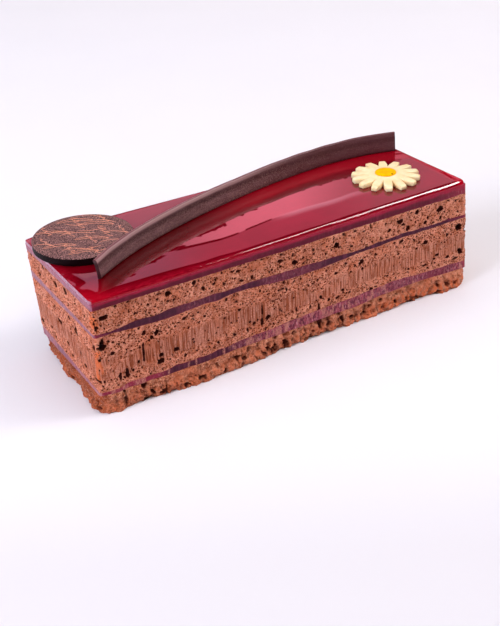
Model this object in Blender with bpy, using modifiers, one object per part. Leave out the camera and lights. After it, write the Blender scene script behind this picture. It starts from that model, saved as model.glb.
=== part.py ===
"""Chocolate berry cake: a hand-cut bar of mousse and berry jelly, glazed on top, with three toppings.

Metres, +Z up. The origin is at the middle of the base: +X runs along the bar to the right, the long cut
side that carries the low end of the chocolate curl faces -Y, and Z = 0 is the surface that the bar stands on.
"""

from math import cos, pi, radians, sin

import bmesh
import bpy
from mathutils import Vector, noise

MM = 0.001
GAP = 0.3 * MM
COLLECTION = "chocolate_berry_cake"

# The bar: the four corners of its plan, from the front left one anticlockwise, at the foot and at the top.
HEIGHT = 42.9 * MM
FOOT_CORNERS = ((-76.3, -26.4), (76.6, -25.6), (74.6, 22.5), (-74.3, 26.3))
TOP_CORNERS = ((-76.1, -27.1), (75.3, -25.1), (73.4, 22.8), (-75.8, 28.0))
FRONT_Y = -26.3 * MM
BACK_Y = 26.5 * MM
HALF_LENGTH = 76.0 * MM
CUT_WOBBLE = 0.18 * MM
CUT_WOBBLE_SIZE = 14.0 * MM
SHARP_ANGLE = radians(40)

# How the outline is sampled: segments along a long side, along a short side and round a corner.
SIDE_SEGMENTS = (44, 15)
CORNER_SEGMENTS = 4
BASE_SIDE_SEGMENTS = (84, 28)
BASE_CORNER_SEGMENTS = 5

# Layers, from the top. A band's knots are (x, height of its middle, thickness) along the front side.
GLAZE_BOTTOM = 41.1 * MM
GLAZE_EDGE_RADIUS = 1.4 * MM
GLAZE_EDGE_STEPS = 3
GLAZE_CORNER_RADII = (2.0 * MM, 3.2 * MM, 3.0 * MM, 2.2 * MM)
LAYER_CORNER_RADII = (1.3 * MM, 1.6 * MM, 1.6 * MM, 1.4 * MM)
TOP_JELLY_BOTTOM_LEFT = 38.7 * MM
TOP_JELLY_BOTTOM_RIGHT = 37.7 * MM
TOP_JELLY_RIPPLE = 0.12 * MM
TOP_JELLY_RIPPLE_LENGTHS = (9.0 * MM, 7.0 * MM)
UPPER_BAND = (
    (-76, 29.5, 1.0),
    (-63, 29.3, 2.3),
    (-49, 28.9, 3.4),
    (-33, 29.4, 2.8),
    (-15, 29.2, 2.2),
    (-4, 28.5, 3.0),
    (11, 28.3, 2.3),
    (29, 28.3, 1.4),
    (43, 28.6, 1.1),
    (59, 28.5, 1.1),
    (76, 28.4, 1.0),
)
LOWER_BAND = (
    (-76, 7.8, 1.1),
    (-65, 7.5, 1.6),
    (-49, 7.4, 1.8),
    (-35, 7.2, 2.2),
    (-15, 8.2, 2.2),
    (1, 9.1, 3.3),
    (19, 9.5, 4.0),
    (41, 10.1, 3.5),
    (59, 9.8, 2.9),
    (76, 9.0, 2.9),
)
UPPER_BAND_BACK_RISE = (2.7 * MM, 0.3 * MM)
LOWER_BAND_BACK_RISE = (0.2 * MM, -1.0 * MM)
INNER_SHARE = 0.73

# The crumbly base: its corners' radii, from the front left one, and the relief of its broken sides.
BASE_CORNER_RADII = (4.5 * MM, 4.0 * MM, 5.0 * MM, 8.0 * MM)
BASE_LEVELS = ((0.0, 0.5), (0.16, -0.4), (0.42, -0.7), (0.7, -0.4), (1.0, 0.1))
CRUMB_RELIEF = 1.9 * MM
CRUMB_SIZE = 4.2 * MM
CRUMB_FLATTENING = 0.8
TOP_CALM = 0.8
FOOT_RELIEF = 0.9 * MM
FOOT_RELIEF_SIZE = 16.0 * MM
# Where the foot swells out, or draws in, as (x, how far, half its length).
FOOT_SWELLS = ((-41, 1.8, 15), (66, 1.3, 9), (29, -1.0, 26))

# The chocolate disc, which stands out over the back left corner.
DISC_CENTRE = (-60.2 * MM, 11.6 * MM)
DISC_RADIUS = 17.0 * MM
DISC_THICKNESS = 2.5 * MM
DISC_EDGE = 0.25 * MM
DISC_EDGE_SEGMENTS = 2
DISC_SIDES = 72

# The chocolate curl: a band on its edge. Its plan is a bow, y = a polynomial in x, in millimetres.
CURL_START = -67.7 * MM
CURL_END = 70.5 * MM
CURL_BOW = (11.21, 0.2258, -0.001582, -1.15e-6, -2.56e-7)
CURL_HEIGHTS = (7.4 * MM, 6.7 * MM)
CURL_THICKNESS = 1.2 * MM
CURL_TOP_LEAN = 0.55 * MM
CURL_HOLLOW = 0.28 * MM
CURL_SEGMENTS = (44, 6)

# The white chocolate daisy.
DAISY_CENTRE = (52.6 * MM, -6.2 * MM)
DAISY_RADIUS = 12.5 * MM
DAISY_PETALS = 14
DAISY_TURN = radians(8.1)
PETAL_POINTS = 10
PETAL_NOTCH = 0.52
PETAL_EDGE = 0.62
PETAL_ROUNDING = 0.14
DAISY_CROWN_HEIGHT = 1.8 * MM
# Its profile from the foot of the rim inwards: shares of the radius and of the height, and how far the
# notches still show there.
DAISY_PROFILE = ((1.0, 0.0, 1.0), (1.0, 0.5, 1.0), (0.94, 0.67, 1.0), (0.5, 0.93, 0.35), (0.36, 1.0, 0.0))
EYE_RADIUS = 4.05 * MM
EYE_THICKNESS = 0.45 * MM
EYE_SIDES = 40
EYE_PROFILE = ((1.0, 0.0), (1.0, 0.4), (0.9, 0.8), (0.6, 1.0))


def mix(a, b, t):
    """The value that lies t of the way from a to b."""
    return a + (b - a) * t


def smoothstep(t):
    """Eases from 0 to 1 as t does, and stays there outside that range."""
    t = min(max(t, 0.0), 1.0)
    return t * t * (3.0 - 2.0 * t)


def through_knots(knots, x, column):
    """The smooth curve through a column of the knots, at x in metres. The result is in metres."""
    x = x / MM
    if x <= knots[0][0]:
        return knots[0][column] * MM
    for left, right in zip(knots, knots[1:]):
        if x <= right[0]:
            t = (x - left[0]) / (right[0] - left[0])
            return mix(left[column], right[column], smoothstep(t)) * MM
    return knots[-1][column] * MM


def band_surface(knots, back_rise, side):
    """A function of x and y: the height of a band's lower (side -1) or upper (side 1) surface.

    The front side follows the knots. The back side has the same waves the other way round, and it lies
    higher by back_rise, given for the left and the right end.
    """

    def height(x, y):
        depth = (y - FRONT_Y) / (BACK_Y - FRONT_Y)
        along = (x + HALF_LENGTH) / (2 * HALF_LENGTH)
        rise = mix(back_rise[0], back_rise[1], along) * depth
        front = through_knots(knots, x, 1) + side * through_knots(knots, x, 2) / 2
        back = through_knots(knots, -x, 1) + side * through_knots(knots, -x, 2) / 2
        return mix(front, back, smoothstep(depth)) + rise

    return height


def shifted(surface, by):
    """The same surface, moved up by a distance."""
    return lambda x, y: surface(x, y) + by


def level(height):
    """A flat surface."""
    return lambda x, y: height


def top_jelly_bottom(x, y):
    """The slightly sloping surface between the upper mousse and the jelly below the glaze."""
    t = (x + HALF_LENGTH) / (2 * HALF_LENGTH)
    along, across = TOP_JELLY_RIPPLE_LENGTHS
    ripple = TOP_JELLY_RIPPLE * sin(x / along) * cos(y / across)
    return mix(TOP_JELLY_BOTTOM_LEFT, TOP_JELLY_BOTTOM_RIGHT, t) + ripple


def plan_corners(z):
    """The four corners of the bar's plan at a height."""
    t = z / HEIGHT
    pairs = zip(FOOT_CORNERS, TOP_CORNERS)
    return [Vector((mix(a[0], b[0], t) * MM, mix(a[1], b[1], t) * MM)) for a, b in pairs]


def rounded_outline(corners, radii, side_segments, corner_segments):
    """The points of a four-cornered outline with rounded corners, anticlockwise, and their normals."""
    points = []
    for i, corner in enumerate(corners):
        before = (corners[i - 1] - corner).normalized()
        after = (corners[(i + 1) % 4] - corner).normalized()
        reach = radii[i]
        start = corner + before * reach
        end = corner + after * reach
        for k in range(corner_segments + 1):
            t = k / corner_segments
            on_arc = start * (1 - t) ** 2 + corner * 2 * t * (1 - t) + end * t**2
            normal = (-(before * t) - after * (1 - t)).normalized()
            points.append((on_arc, normal))
        following = corners[(i + 1) % 4]
        stop = following + (corner - following).normalized() * radii[(i + 1) % 4]
        count = side_segments[i % 2]
        outward = Vector((after.y, -after.x))
        for k in range(1, count):
            points.append((end.lerp(stop, k / count), outward))
    return points


def cut_wobble(point, z):
    """How far the knife's cut stands out from the true side."""
    return CUT_WOBBLE * noise.noise(Vector((point.x, point.y, z)) / CUT_WOBBLE_SIZE)


def crumb_relief(point, z):
    """How far the broken side of the base stands out: small crumbs on slow swells."""
    small = Vector((point.x, point.y, z * CRUMB_FLATTENING)) / CRUMB_SIZE
    slow = Vector((point.x, point.y, 0.0)) / FOOT_RELIEF_SIZE
    relief = CRUMB_RELIEF * noise.noise(small) + FOOT_RELIEF * noise.noise(slow)
    for x, out, half_length in FOOT_SWELLS:
        nearness = 1 - abs(point.x / MM - x) / half_length
        relief += out * MM * smoothstep(nearness)
    return relief


def link(obj, material):
    """Puts an object with its material in the cake's collection."""
    obj.data.materials.clear()
    obj.data.materials.append(material)
    bpy.data.collections[COLLECTION].objects.link(obj)
    return obj


def loft(name, rings, material, smooth=False):
    """A closed solid from rings of as many points each, the lowest first, with a flat face at both ends."""
    mesh = bmesh.new()
    loops = [[mesh.verts.new(point) for point in ring] for ring in rings]
    count = len(rings[0])
    for below, above in zip(loops, loops[1:]):
        for i in range(count):
            j = (i + 1) % count
            mesh.faces.new((below[i], below[j], above[j], above[i]))
    mesh.faces.new(reversed(loops[0]))
    mesh.faces.new(loops[-1])
    bmesh.ops.recalc_face_normals(mesh, faces=mesh.faces)
    data = bpy.data.meshes.new(name)
    mesh.to_mesh(data)
    mesh.free()
    if smooth:
        data.shade_smooth()
        data.set_sharp_from_angle(angle=SHARP_ANGLE)
    return link(bpy.data.objects.new(name, data), material)


def inner_ring(outline, surface):
    """The edge of a layer's flat part: the outline drawn in, at the height of the surface's middle."""
    flat = surface(0.0, 0.0)
    return [Vector((*(point * INNER_SHARE), flat)) for point, _ in outline]


def slab(name, lower, upper, middle_rows, material):
    """A layer between two surfaces, which are wavy at the cut sides and flat further in."""
    corners_at = [plan_corners(t) for t in (lower(0, FRONT_Y), upper(0, FRONT_Y))]
    outlines = [
        rounded_outline(corners, LAYER_CORNER_RADII, SIDE_SEGMENTS, CORNER_SEGMENTS)
        for corners in corners_at
    ]
    rows = middle_rows + 1
    rings = []
    for row in range(rows + 1):
        t = row / rows
        ring = []
        for (low, normal), (high, _) in zip(*outlines):
            place = low.lerp(high, t)
            z = mix(lower(place.x, place.y), upper(place.x, place.y), t)
            place = place + normal * cut_wobble(place, z)
            ring.append(Vector((place.x, place.y, z)))
        rings.append(ring)
    lowest = inner_ring(outlines[0], lower)
    highest = inner_ring(outlines[1], upper)
    return loft(name, [lowest, *rings, highest], material)


def glaze(material):
    """The glaze on top: flat, with its upper edge rounded over."""
    steps = [(0.0, GLAZE_BOTTOM)]
    for k in range(GLAZE_EDGE_STEPS + 1):
        turn = k / GLAZE_EDGE_STEPS * pi / 2
        inset = GLAZE_EDGE_RADIUS * (1 - cos(turn))
        steps.append((inset, HEIGHT - GLAZE_EDGE_RADIUS * (1 - sin(turn))))
    rings = []
    for inset, z in steps:
        outline = rounded_outline(plan_corners(z), GLAZE_CORNER_RADII, SIDE_SEGMENTS, CORNER_SEGMENTS)
        rings.append([Vector((*(p - normal * inset), z)) for p, normal in outline])
    return loft("mirror_glaze", rings, material, smooth=True)


def base(upper, material):
    """The crumbly base. Its sides are broken rather than cut, and it draws in towards its foot."""
    rings = []
    height = upper(0.0, FRONT_Y)
    for share, inset in BASE_LEVELS:
        outline = rounded_outline(
            plan_corners(share * height), BASE_CORNER_RADII, BASE_SIDE_SEGMENTS, BASE_CORNER_SEGMENTS
        )
        ring = []
        for p, normal in outline:
            z = share * upper(p.x, p.y)
            relief = crumb_relief(p, z) * (1 - TOP_CALM * share**3)
            place = p + normal * (relief - inset * MM)
            ring.append(Vector((place.x, place.y, z)))
        rings.append(ring)
    rings.append(inner_ring(outline, upper))
    return loft("base_sponge", rings, material)


def disc(material):
    """The chocolate disc, with its edge just taken off."""
    bpy.ops.mesh.primitive_cylinder_add(
        vertices=DISC_SIDES,
        radius=DISC_RADIUS,
        depth=DISC_THICKNESS,
        location=(*DISC_CENTRE, HEIGHT + GAP + DISC_THICKNESS / 2),
    )
    made = bpy.context.object
    made.name = "chocolate_disc"
    made.data.name = made.name
    for collection in list(made.users_collection):
        collection.objects.unlink(made)
    edge = made.modifiers.new("edge", "BEVEL")
    edge.width = DISC_EDGE
    edge.segments = DISC_EDGE_SEGMENTS
    edge.limit_method = "ANGLE"
    made.data.shade_smooth()
    made.data.set_sharp_from_angle(angle=SHARP_ANGLE)
    return link(made, material)


def curl_bow(x):
    """The plan of the curl's front foot: the place, and the unit vector towards the back, at x."""
    millimetres = x / MM
    y = sum(factor * millimetres**power for power, factor in enumerate(CURL_BOW))
    slope = sum(
        power * factor * millimetres ** (power - 1) for power, factor in enumerate(CURL_BOW) if power
    )
    return Vector((x, y * MM)), Vector((-slope, 1.0)).normalized()


def curl(material):
    """The chocolate curl: an upright shell whose face hollows a little below and falls back at its top."""
    mesh = bmesh.new()
    along, up = CURL_SEGMENTS
    bmesh.ops.create_grid(mesh, x_segments=along, y_segments=up, size=0.5)
    for vertex in mesh.verts:
        t = vertex.co.x + 0.5
        share = vertex.co.y + 0.5
        place, back = curl_bow(mix(CURL_START, CURL_END, t))
        lean = CURL_TOP_LEAN * share**2 - CURL_HOLLOW * sin(pi * share)
        place = place + back * lean
        height = share * mix(*CURL_HEIGHTS, t)
        vertex.co = Vector((place.x, place.y, HEIGHT + GAP + height))
    bmesh.ops.recalc_face_normals(mesh, faces=mesh.faces)
    data = bpy.data.meshes.new("chocolate_curl")
    mesh.to_mesh(data)
    mesh.free()
    data.shade_smooth()
    made = link(bpy.data.objects.new("chocolate_curl", data), material)
    shell = made.modifiers.new("shell", "SOLIDIFY")
    shell.thickness = CURL_THICKNESS
    faces_front = made.data.polygons[0].normal.y < 0
    shell.offset = -1.0 if faces_front else 1.0
    return made


def petal_reach(angle):
    """The daisy's outline as a share of its radius: blunt petals with narrow notches between them."""
    pitch = 2 * pi / DAISY_PETALS
    across = abs(((angle - DAISY_TURN) / pitch + 0.5) % 1.0 - 0.5) * 2
    shoulder = 1.0 - PETAL_ROUNDING * across**2
    return mix(shoulder, PETAL_NOTCH, smoothstep((across - PETAL_EDGE) / (1.0 - PETAL_EDGE)))


def daisy(material):
    """The daisy's petals in one piece, a low dome with a flat seat for its centre."""
    count = DAISY_PETALS * PETAL_POINTS
    angles = [2 * pi * i / count for i in range(count)]
    foot = HEIGHT + GAP
    rings = []
    for share, rise, follow in DAISY_PROFILE:
        ring = []
        for angle in angles:
            reach = share * mix(1.0, petal_reach(angle), follow) * DAISY_RADIUS
            x = DAISY_CENTRE[0] + reach * cos(angle)
            y = DAISY_CENTRE[1] + reach * sin(angle)
            ring.append(Vector((x, y, foot + rise * DAISY_CROWN_HEIGHT)))
        rings.append(ring)
    return loft("daisy_petals", rings, material)


def daisy_eye(material):
    """The daisy's round centre, a low dome."""
    foot = HEIGHT + GAP + DAISY_CROWN_HEIGHT + GAP
    rings = []
    for share, rise in EYE_PROFILE:
        ring = []
        for i in range(EYE_SIDES):
            angle = 2 * pi * i / EYE_SIDES
            x = DAISY_CENTRE[0] + share * EYE_RADIUS * cos(angle)
            y = DAISY_CENTRE[1] + share * EYE_RADIUS * sin(angle)
            ring.append(Vector((x, y, foot + rise * EYE_THICKNESS)))
        rings.append(ring)
    return loft("daisy_eye", rings, material, smooth=True)


def material(name, colour, roughness, coat=0.0):
    """A Principled material with the part's own colour."""
    made = bpy.data.materials.new(name)
    made.use_nodes = True
    shader = made.node_tree.nodes["Principled BSDF"]
    shader.inputs["Base Color"].default_value = (*colour, 1.0)
    shader.inputs["Roughness"].default_value = roughness
    shader.inputs["Metallic"].default_value = 0.0
    shader.inputs["Coat Weight"].default_value = coat
    return made


def clear_scene():
    """Empties the scene and makes the cake's collection."""
    for obj in list(bpy.data.objects):
        bpy.data.objects.remove(obj, do_unlink=True)
    bpy.context.scene.collection.children.link(bpy.data.collections.new(COLLECTION))


def main():
    clear_scene()
    sponge = material("base_sponge", (0.26, 0.10, 0.055), 0.9)
    mousse = material("chocolate_mousse", (0.34, 0.15, 0.10), 0.8)
    jelly = material("berry_jelly", (0.09, 0.02, 0.045), 0.35)
    crimson = material("mirror_glaze", (0.30, 0.004, 0.012), 0.08, coat=1.0)
    dark = material("dark_chocolate", (0.055, 0.028, 0.026), 0.4)
    cream = material("white_chocolate", (0.95, 0.84, 0.56), 0.45)
    yellow = material("daisy_yellow", (1.0, 0.50, 0.01), 0.5)

    half_gap = GAP / 2
    lower_bottom = band_surface(LOWER_BAND, LOWER_BAND_BACK_RISE, -1)
    lower_top = band_surface(LOWER_BAND, LOWER_BAND_BACK_RISE, 1)
    upper_bottom = band_surface(UPPER_BAND, UPPER_BAND_BACK_RISE, -1)
    upper_top = band_surface(UPPER_BAND, UPPER_BAND_BACK_RISE, 1)

    base(shifted(lower_bottom, -half_gap), sponge)
    slab("berry_jelly_lower", shifted(lower_bottom, half_gap), shifted(lower_top, -half_gap), 0, jelly)
    slab("mousse_lower", shifted(lower_top, half_gap), shifted(upper_bottom, -half_gap), 2, mousse)
    slab("berry_jelly_middle", shifted(upper_bottom, half_gap), shifted(upper_top, -half_gap), 0, jelly)
    slab("mousse_upper", shifted(upper_top, half_gap), shifted(top_jelly_bottom, -half_gap), 1, mousse)
    slab("berry_jelly_top", shifted(top_jelly_bottom, half_gap), level(GLAZE_BOTTOM - GAP), 0, jelly)
    glaze(crimson)
    disc(dark)
    curl(dark)
    daisy(cream)
    daisy_eye(yellow)


main()
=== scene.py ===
"""Chocolate berry cake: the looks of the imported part, in its own frame.

Lengths in the constants are millimetres. +X runs along the bar, -Y is the long cut side with the low end of
the chocolate curl, and Z = 0 is the surface that the cake stands on.
"""

from functools import partial
from math import cos, pi, radians, sin

import bpy
import numpy as np
from mathutils import Matrix, Vector


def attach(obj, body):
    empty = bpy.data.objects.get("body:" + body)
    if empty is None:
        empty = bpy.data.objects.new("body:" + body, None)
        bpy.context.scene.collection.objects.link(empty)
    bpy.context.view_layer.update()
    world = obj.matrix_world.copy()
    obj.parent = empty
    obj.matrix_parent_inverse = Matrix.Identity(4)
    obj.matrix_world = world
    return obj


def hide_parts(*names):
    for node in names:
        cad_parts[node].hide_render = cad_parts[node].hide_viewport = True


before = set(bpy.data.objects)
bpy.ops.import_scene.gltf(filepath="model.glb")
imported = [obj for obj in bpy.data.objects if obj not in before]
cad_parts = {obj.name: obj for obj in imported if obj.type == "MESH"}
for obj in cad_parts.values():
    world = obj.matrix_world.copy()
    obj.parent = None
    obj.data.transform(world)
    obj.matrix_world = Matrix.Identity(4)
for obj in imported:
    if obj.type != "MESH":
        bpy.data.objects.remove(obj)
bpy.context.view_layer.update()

MM = 0.001
RNG = np.random.default_rng(41)

# The bar's plan, from the front left corner anticlockwise, at the foot and at the top.
HEIGHT = 42.9
FOOT_CORNERS = np.array([(-76.3, -26.4), (76.6, -25.6), (74.6, 22.5), (-74.3, 26.3)])
TOP_CORNERS = np.array([(-76.1, -27.1), (75.3, -25.1), (73.4, 22.8), (-75.8, 28.0)])
FRONT_Y, BACK_Y, HALF_LENGTH = -26.3, 26.5, 76.0
NEAR_CORNER = (-76.2, -26.7)
# How rounded the corners are, in the same order.
LAYER_RADII = (1.3, 1.6, 1.6, 1.4)
GLAZE_RADII = (2.0, 3.2, 3.0, 2.2)
BASE_RADII = (4.5, 4.0, 5.0, 8.0)
# Two of the sides' numbers, which count anticlockwise from the front.
FRONT, LEFT = 0, 3

# Where the layers meet. The top jelly's foot falls from the left end to the right one. The other two bands
# are known along the front, as (x, lower edge, upper edge).
GLAZE_BOTTOM = 41.2
TOP_JELLY_BOTTOM = (39.2, 37.6)
UPPER_BAND = (
    (-76, 29.3, 30.6), (-70, 29.4, 30.3), (-65, 28.8, 30.7), (-61, 28.4, 31.2), (-58, 28.2, 30.9),
    (-55, 28.0, 30.5), (-50, 27.8, 31.1), (-45, 28.1, 31.2), (-40, 28.4, 31.0), (-36, 28.7, 31.1),
    (-32, 28.2, 31.1), (-27, 28.7, 30.6), (-24, 29.0, 30.8), (-20, 28.8, 31.0), (-15, 28.4, 30.8),
    (-10, 27.9, 30.7), (-5, 27.4, 30.5), (0, 27.2, 30.4), (5, 27.2, 30.3), (10, 27.2, 30.0),
    (15, 27.4, 29.8), (20, 27.6, 29.5), (26, 28.0, 29.2), (30, 28.0, 29.3), (35, 27.9, 29.7),
    (40, 28.2, 29.6), (46, 28.3, 30.0), (52, 28.2, 29.6), (60, 28.1, 29.4), (67, 28.2, 29.3),
    (75, 28.0, 29.0),
)
LOWER_BAND = (
    (-76, 7.6, 8.7), (-70, 6.9, 8.2), (-66, 7.4, 9.2), (-62, 7.1, 9.0), (-58, 7.2, 8.8), (-52, 6.8, 8.7),
    (-48, 6.8, 9.3), (-44, 6.9, 9.0), (-39, 6.5, 8.9), (-35, 6.7, 9.0), (-32, 6.8, 9.5), (-28, 6.9, 9.4),
    (-24, 7.1, 10.0), (-18, 7.0, 10.1), (-12, 6.9, 10.1), (-6, 6.9, 10.6), (0, 6.9, 10.8), (8, 7.1, 11.1),
    (15, 7.2, 11.1), (24, 7.0, 11.1), (30, 7.4, 11.6), (35, 7.9, 11.6), (40, 7.9, 12.0), (46, 8.1, 11.8),
    (52, 8.3, 11.2), (60, 7.9, 10.9), (67, 7.4, 10.6), (75, 7.0, 10.0),
)
# How much higher the bands' lower and upper edges lie at the back, at the left end and at the right end.
UPPER_BACK_RISE = ((0.9, 0.3), (2.4, 0.3))
LOWER_BACK_RISE = ((-1.2, -0.8), (-0.8, -1.0))
BAND_WOBBLE = 0.12

# How a band looks where the tables say nothing: how pale, how red, how much mousse covers it.
PLAIN_LOOK = (0.2, 0.0, 0.0)
# How the bands look along the front, as (x, and the same three).
TOP_LOOK = (
    (-77, 0.1, 0.5, 0), (-74, 0, 0, 0), (60, 0, 0, 0), (68, 0.1, 0.35, 0), (73, 0.2, 0.8, 0),
    (77, 0.4, 1.0, 0),
)
UPPER_LOOK = (
    (-77, 0.2, 0.9, 0), (-73, 0.1, 0.3, 0), (-67, 0, 0, 0), (-48, 0, 0, 0), (-42, 0.25, 0, 0),
    (-36, 0.2, 0, 0), (-30, 0, 0, 0), (-17, 0, 0, 0), (-10, 0.25, 0.1, 0), (3, 0.25, 0.1, 0), (14, 0, 0, 0),
    (66, 0, 0, 0), (73, 0.1, 0.3, 0), (77, 0.3, 1.0, 0),
)
LOWER_LOOK = (
    (-77, 0.4, 0.8, 0.45), (-66, 0.3, 0.9, 0.5), (-55, 0.25, 0.9, 0.4), (-52.6, 0.0, 0.4, 0.1),
    (-51.5, 0.2, 0, 0.85), (-50.4, 0, 0, 0), (-45.0, 0, 0, 0), (-44.0, 0.2, 0, 0.85), (-43.0, 0, 0, 0),
    (-41.6, 0, 0, 0), (-41.0, 0.2, 0, 0.7), (-40.3, 0, 0, 0), (-36.3, 0, 0, 0), (-35.5, 0.2, 0, 0.85),
    (-34.7, 0, 0, 0), (-30.7, 0, 0, 0), (-30.0, 0.2, 0, 0.75), (-29.3, 0, 0, 0), (-25, 0.3, 0, 0.5),
    (-18, 0.6, 0, 0.6), (-5, 0.8, 0.1, 0.6), (15, 0.8, 0.1, 0.55), (30, 0.7, 0.1, 0.4),
    (45, 0.6, 0.05, 0.3), (55, 0.6, 0.1, 0.2), (60, 0.35, 0.4, 0.1), (68, 0.5, 0.1, 0.2),
    (71.5, 0.9, 0.1, 0.45), (73.8, 0.9, 0.3, 0.4), (74.8, 0.5, 1.0, 0), (77, 0.4, 1.0, 0),
)
# And on the left end, as (y, and the same three). The top band looks there as the upper one does.
LOWER_END_LOOK = (
    (-27, 0.9, 0.3, 0.9), (-21, 0.9, 0.3, 0.8), (-14, 0.9, 0.4, 0.75), (-9, 0.3, 0.9, 0.5),
    (2, 0.3, 0.9, 0.4), (4, 0.2, 0.3, 0.2), (12, 0.2, 0.1, 0.3), (14, 0.9, 0.0, 0.5), (27, 0.9, 0.0, 0.4),
)
UPPER_END_LOOK = ((-27, 0.7, 0.0, 0.0), (27, 0.8, 0.0, 0.0))

# The foot of the base along the front, as (x, how far it stands out).
FOOT_LINE = (
    (-76, 0.2), (-73, 0.5), (-68, 0.2), (-62, -0.4), (-54, 0.4), (-41, 2.1), (-29, 1.1), (-18, 0.8),
    (-9, 0.2), (4, -1.0), (22, -0.6), (40, -0.9), (53, -1.3), (67, 1.3), (76, -0.2),
)

# Bubbles and gashes in the cut faces, as (x on the front or y on the left, height, half width, half height).
FRONT_BUBBLES = (
    (-72.3, 35.8, 1.3, 0.85), (-75.0, 33.0, 0.6, 0.6), (-67.8, 38.6, 0.6, 0.35), (-63.2, 38.6, 0.5, 0.4),
    (-49.0, 36.8, 1.05, 0.9), (-56.5, 35.2, 0.5, 0.35), (-61.3, 33.8, 0.5, 0.45), (-53.0, 36.0, 0.6, 0.35),
    (-49.2, 34.1, 0.6, 0.35), (-47.0, 34.0, 0.6, 0.35), (-39.2, 37.8, 0.8, 0.7), (-32.0, 34.7, 0.6, 0.45),
    (-36.0, 34.3, 0.5, 0.5), (-31.2, 36.1, 0.4, 0.35), (-33.0, 32.4, 0.5, 0.35), (-28.2, 33.4, 0.5, 0.3),
    (-22.5, 36.4, 0.9, 0.4), (-19.5, 36.9, 0.6, 0.3), (-24.0, 34.3, 0.5, 0.35), (-17.3, 32.5, 0.5, 0.7),
    (-21.0, 32.3, 0.5, 0.35), (-5.8, 37.3, 0.5, 0.4), (-6.2, 35.1, 0.9, 0.55), (-1.0, 35.6, 0.35, 0.35),
    (-0.2, 32.8, 1.1, 0.7), (3.2, 33.4, 0.6, 0.4), (3.4, 31.3, 0.5, 0.4), (7.6, 33.6, 0.5, 0.4),
    (13.2, 34.6, 0.5, 0.35), (17.4, 33.9, 1.05, 1.0), (20.3, 37.3, 0.8, 0.4), (23.5, 31.7, 0.7, 0.5),
    (21.3, 33.9, 0.5, 0.3), (12.2, 36.3, 0.4, 0.3), (25.2, 37.0, 0.8, 0.35), (45.0, 34.9, 1.1, 0.8),
    (46.2, 33.4, 0.8, 0.45), (48.5, 31.2, 0.9, 0.8), (52.7, 36.5, 0.9, 0.9), (40.3, 32.8, 0.6, 0.6),
    (50.0, 37.0, 0.5, 0.4), (57.6, 32.9, 0.5, 0.5), (56.4, 31.3, 0.75, 0.7), (63.3, 34.6, 1.3, 0.9),
    (38.5, 35.9, 0.5, 0.5), (29.0, 35.9, 0.5, 0.4), (31.7, 37.4, 0.4, 0.4), (67.0, 36.9, 0.7, 0.3),
    (70.7, 35.9, 0.4, 0.4), (76.6, 22.8, 0.9, 0.7), (63.8, 31.1, 0.5, 0.6), (28.0, 32.2, 0.4, 0.3),
    (72.5, 35.1, 0.4, 0.3), (-58.7, 25.6, 0.7, 0.8), (-54.5, 24.2, 1.0, 0.9), (-56.3, 23.0, 0.6, 0.7),
    (-44.0, 25.8, 0.6, 0.5), (-36.3, 24.0, 0.4, 0.4), (-27.8, 27.5, 0.5, 0.6), (-59.5, 18.5, 0.45, 3.6),
    (-70.3, 22.0, 0.8, 0.5), (-75.0, 21.0, 0.6, 0.5), (-53.2, 15.1, 0.85, 0.7), (-47.7, 15.2, 0.9, 0.7),
    (-53.9, 12.8, 1.3, 0.9), (-61.7, 15.5, 0.5, 0.5), (-66.0, 12.8, 0.7, 1.8), (-68.5, 12.5, 0.45, 1.8),
    (-76.0, 12.8, 0.8, 0.6), (-32.0, 12.5, 0.5, 0.4), (-44.5, 11.8, 0.5, 0.5), (-14.7, 26.3, 0.45, 0.45),
    (-23.0, 21.9, 0.6, 0.5), (-24.0, 25.3, 0.7, 0.3), (-11.5, 24.1, 0.5, 0.3), (-5.0, 26.5, 0.35, 0.6),
    (-5.4, 24.2, 0.5, 0.4), (-3.9, 23.3, 0.35, 0.45), (2.0, 25.5, 0.5, 0.4), (8.9, 23.0, 0.5, 0.35),
    (16.8, 23.1, 0.9, 0.35), (21.2, 25.4, 0.6, 0.3), (23.0, 21.5, 0.5, 0.3), (-19.2, 15.7, 0.6, 0.5),
    (-17.7, 14.8, 0.5, 0.6), (-16.1, 15.6, 0.4, 0.4), (-20.5, 13.5, 0.4, 0.7), (-14.5, 14.2, 0.5, 1.4),
    (-14.1, 18.0, 0.25, 3.2), (-12.0, 15.3, 1.05, 0.75), (-7.0, 16.5, 0.3, 0.5), (-0.3, 14.3, 0.35, 1.0),
    (5.3, 13.5, 0.35, 1.0), (10.0, 15.7, 0.6, 0.8), (13.2, 13.6, 0.8, 0.5), (17.0, 13.2, 0.8, 0.5),
    (22.2, 13.5, 0.6, 0.4), (9.1, 12.0, 0.4, 1.6), (19.5, 15.5, 0.6, 0.4), (45.5, 26.9, 1.0, 0.6),
    (27.8, 24.2, 1.05, 0.8), (38.2, 23.4, 0.5, 0.45), (44.0, 22.2, 0.5, 0.4), (28.3, 21.2, 0.5, 0.6),
    (30.7, 22.8, 0.4, 0.4), (42.5, 27.2, 0.6, 0.4), (53.5, 23.8, 0.9, 0.35), (56.5, 23.1, 1.0, 0.7),
    (52.5, 21.8, 0.6, 0.45), (66.7, 23.1, 0.7, 0.55), (72.0, 24.9, 1.3, 1.3), (68.7, 26.9, 0.4, 0.4),
    (64.0, 20.8, 0.5, 0.3), (62.0, 16.3, 0.9, 0.5), (60.6, 15.1, 0.6, 0.4), (56.0, 13.9, 1.0, 0.5),
    (66.7, 14.1, 0.8, 0.6), (72.8, 14.6, 1.0, 1.1), (70.5, 12.3, 1.2, 0.45), (39.2, 14.8, 0.6, 0.4),
    (31.6, 11.9, 0.8, 0.6),
)
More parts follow.
